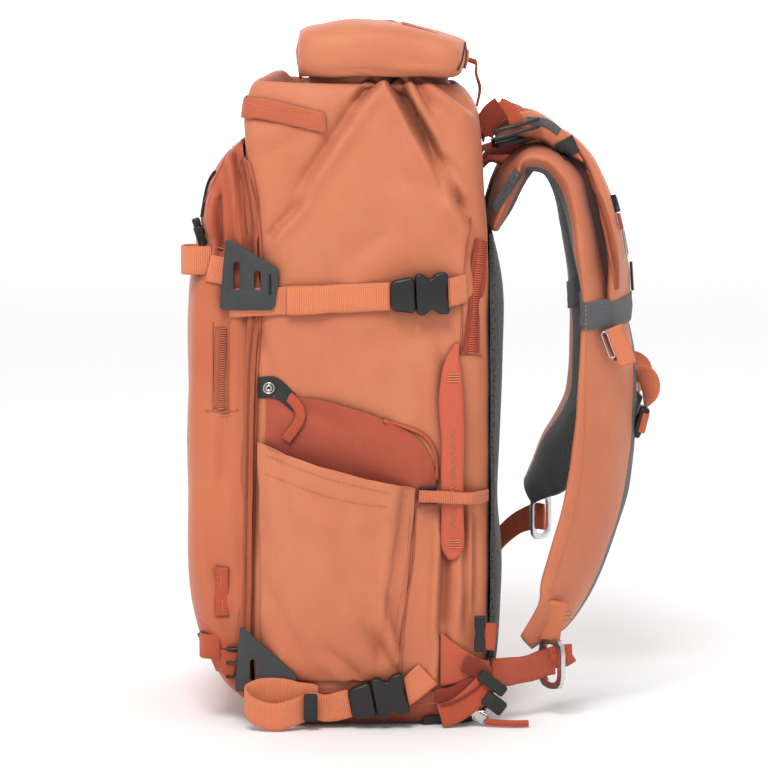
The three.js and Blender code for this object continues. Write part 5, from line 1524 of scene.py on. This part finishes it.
def gusset(side_name):
    """The gusset between the pad and the zipped layer, near black as painted shade of the gap"""
    upper = dense(from_top("strap_pocket_" + side_name), 5)
    foot = upper[:, :, 2].max() - POCKET_LENGTH + 8
    pad_middle = dense(rings_of("shoulder_pad_" + side_name), 3).mean(axis=1)
    rings = []
    for ring in upper:
        middle = ring.mean(axis=0)
        if middle[2] < foot:
            break
        base = pad_middle[np.argmin(np.linalg.norm(pad_middle - middle, axis=1))]
        wide = (ring[4] - ring[0]) / 2 * GUSSET_SHARE
        rings.append([base + wide, middle + wide, middle - wide, base - wide])
    loft(f"strap_gusset_{side_name}", rings, gusset_shade_cloth).data.shade_flat()


# painted shade: the gusset's cloth is near black, for the shade in the gap under the zipped layer
gusset_shade_cloth = cloth("gusset_nylon_painted_shade", paint(96, 26, 18), paint(58, 14, 10), 0.2, 0.5)
for side, side_name in SIDES:
    strap_head(side, side_name)
    gusset(side_name)
print(len(SIDES), "strap heads and gussets")

# %% [markdown]
# ## Webbing that faces the side
# Short ends of webbing hang clear of the cloth, so no ray finds a place for them. Seen from the side they
# are flat strips: a line of pixels gives y and z, and x is given at both ends. The near strap carries the
# trim that can be seen: the lifter's loop through its ladder lock, a zip with two pulls, an elastic keeper,
# and a sewn tab below the elastic band. The far strap turns its outer face away and keeps to its seams.

# %% Flat strips
def flat_strip(name, pixels, at_x, width, look):
    """A strip of webbing that faces the side, along a line of pixels, with x at its two ends"""
    flat = smooth_route([side_place(px, py) for px, py in pixels], 2.0)
    centres = np.column_stack([np.linspace(*at_x, len(flat)), flat])
    ahead = unit(np.gradient(centres, axis=0))
    across = unit(np.cross(ahead, np.tile((1.0, 0, 0), (len(centres), 1))))
    rings = strip_rings(centres, across * width / 2, unit(np.cross(across, ahead)) * WEB_THICK / 2)
    swell(loft(name, rings, look, STRIP_ACROSS), 71, 26, 0.4)


side, side_name = SIDES[0]
strap_skin = skin(f"shoulder_pad_{side_name}_sewn", f"strap_pocket_{side_name}_sewn",
                  f"strap_head_{side_name}", f"strap_band_{side_name}_cloth")
patch(f"pad_mesh_{side_name}", [(497, 214), (507, 198), (517, 182), (522, 175)],
      [(493, 206), (502, 190), (511, 175), (516, 168)], grey_mesh, 0.8, strap_skin, side, 0.3)
flat_strip(f"lifter_loop_{side_name}", [(484, 136), (489, 125), (496, 115), (504, 109)], (84, 90), 21,
           shaded_web)
flat_strip(f"lifter_fold_{side_name}", [(501, 106), (509, 110), (516, 118), (520, 130)], (88, 91), 13,
           red_web)
y, z = side_place(519, 131)
for part, lift in (("upper", 3.2), ("lower", -3.2)):
    block(f"ladder_{part}_{side_name}", (95, y, z + lift), (0, 0.95, 0.28), (0, -0.28, 0.95), (42, 3.6, 4),
          plastic, "black_plastic", 1.6)
patch(f"elastic_keeper_{side_name}", [(555, 144), (572, 136)], [(564, 160), (580, 151)], rubber,
      1.6, strap_skin, side, 0.4)
patch(f"strap_reinforcement_{side_name}", [(527, 117), (545, 119), (561, 129)],
      [(529, 124), (545, 127), (557, 135)], elastic, 0.9, strap_skin, side, 0.3)
print("trim of the near strap's upper end")

# %% Zip of the near strap and what hangs from it
route = trace([(586, 172), (598, 196), (607, 226), (614, 260), (617, 288)], strap_skin, side)
tape(f"strap_zip_tape_{side_name}", *route, 8, 0.7, plain_tape, "heavy_cloth")
coil(f"strap_zip_coil_{side_name}", *route, brown_coil, 3, 1.5)
seated(f"strap_slider_{side_name}", (614, 204), strap_skin, side, 2.4, (16, 8, 5), plastic, "black_plastic",
       1.8, 0.2)
seated(f"strap_pull_{side_name}", (618, 222), strap_skin, side, 3.0, (15, 8, 2.4), red_web, "webbing", 0.9)
spot, down, aside, out = on_cloth(622, 243, strap_skin, side)
wire_loop(f"strap_puller_{side_name}", spot + out * 3.0, down, aside, 24, 6, 1.7, chrome, 2.6)
seated(f"strap_stop_{side_name}", (632, 276), strap_skin, side, 1.6, (26, 4, 2.4), plastic, "black_plastic")
band_x = max(abs(p[0]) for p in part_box(f"strap_band_{side_name}")) * 1000
flat_strip(f"strap_tab_{side_name}", [(616, 331), (621, 344), (627, 357), (631, 369)], (band_x, band_x), 16,
           strap_web)
flat_strip(f"tab_underside_{side_name}", [(608, 333), (612, 345), (617, 356), (620, 365)],
           (band_x - 2, band_x - 2), 5, shaded_web)
y, z = side_place(611, 349)
wire_loop(f"lower_puller_{side_name}", (band_x + 1, y, z), (0, 0.35, -0.94), (0, 0.94, 0.35), 24, 5, 1.5,
          chrome, 2.2)
corners = np.array(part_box(f"sternum_buckle_{side_name}")) * 1000
x, (y, z) = corners[:, 0].max() - 0.5, corners.mean(axis=0)[1:]
block(f"buckle_tab_{side_name}", (x, y + 3, z), (0, -0.25, -0.97), (0, 0.97, -0.25), (18, 6, 2.4), strap_web,
      "webbing")
print("zip, pulls and tabs, with the band's side at x", round(band_x, 1))

# %% Stitches of the near strap
PAD_SEAM = [(527, 152), (549, 157), (563, 172), (577, 210), (584, 262), (586, 330), (585, 400), (583, 460),
            (573, 520), (556, 575), (541, 628)]
for row in (613, 617, 621):
    tack = trace([(560, row), (571, row - 2)], strap_skin, side)
    stitch(f"strap_tack_{row}_{side_name}", *tack, gold_thread, 1.6, 0.5, 0.5)
PAD_TOP = [(500, 172), (505, 162), (519, 147), (540, 148)]
for name, pixels in (("pad_stitch", PAD_SEAM), ("pad_welt", PAD_TOP)):
    stitch(f"{name}_{side_name}", *trace(pixels, strap_skin, side), thread, 2.6, 1.4, 0.3)
print("3 tacks and 2 seams of stitches on the near strap")

# %% [markdown]
# ## Loose ends low at the back
# The shoulder webbing runs from the wing through an aluminium ring and back. Its spare length is folded under
# elastic keepers. Beside it hangs the lowest pull of the back zip: a chrome slider, a ring and a cord pull.

# %% Tails and keepers
RING_X = 104  # where the webbing goes through the ring
LOOSE_WEBS = {
    # where it runs, x at its two ends, width, finish
    "pad_end_tab": ([(560, 606), (557, 622), (553, 638), (552, 648)], (128, RING_X + 3), 18, strap_web),
    "ring_tail": ([(552, 664), (562, 662), (575, 661)], (RING_X + 4, 108), 15, red_web),
    "ring_tail_fold": ([(575, 663), (566, 668), (556, 670)], (109, RING_X + 5), 13, red_web),
    "tail_fold": ([(437, 699), (452, 697), (470, 689), (486, 680)], (151, 146), 18, shaded_web),
    "tail_upper": ([(464, 664), (476, 669), (488, 679)], (150, 147), 15, shaded_web),
    "tail_lower": ([(440, 715), (456, 710), (472, 698), (487, 683)], (156, 149), 21, red_web),
    # painted shade: a thin dark strip along the fold of the tail
    "tail_crease_shade": ([(440, 704), (456, 700), (472, 691), (486, 681)], (157, 150), 2, shaded_web),
    "stow_tab": ([(490, 623), (489, 636), (488, 650)], (150, 150), 12, red_web),
}
SIDE_BLOCKS = {
    # pixel, x, its length's way in y and z, size, finish and slot, radius, waist
    "keeper_upper": ((492, 683), 151, (0.8, -0.6), (28, 10, 9), rubber, "rubber", 2.4, 0),
    "keeper_lower": ((494, 703), 151, (0.8, -0.6), (21, 13, 9), rubber, "rubber", 2.4, 0),
    "strap_keeper_lower": ((311, 704), 166, (1, 0), (12, 24, 8), rubber, "rubber", 2, 0),
    "stow_buckle": ((480, 634), 149, (0, 1), (32, 10, 6), plastic, "black_plastic", 2, 0.2),
}
for name, row in LOOSE_WEBS.items():
    flat_strip(name, *row)
for name, (pixel, x, (y_part, z_part), *rest) in SIDE_BLOCKS.items():
    block(name, (x, *side_place(*pixel)), (0, y_part, z_part), (0, abs(z_part), y_part), *rest)
print(len(LOOSE_WEBS), "loose ends and", len(SIDE_BLOCKS), "keepers")

# %% Lowest pull of the back zip
y, z = side_place(476, 716)
z = max(z, 11)
block("bottom_slider", (148, y, z), (0, 0.8, -0.6), (0, 0.6, 0.8), (20, 9, 6), chrome, "aluminium", 2.2, 0.25)
wire_loop("bottom_ring", (149, y + 4, z - 1.5), (0, 0.9, 0.1), (0.3, 0, 1), 14, 8, 1.7, chrome,
          3.6)
pull = [(150, y + 8, 4.4), (151, y + 18, 3.6), (153, y + 32, 3.3), (152, y + 46, 3.3)]
tube("bottom_pull", smooth_route(pull, 1.5), 3.0, red_web)
print("a slider, a ring and a cord pull")
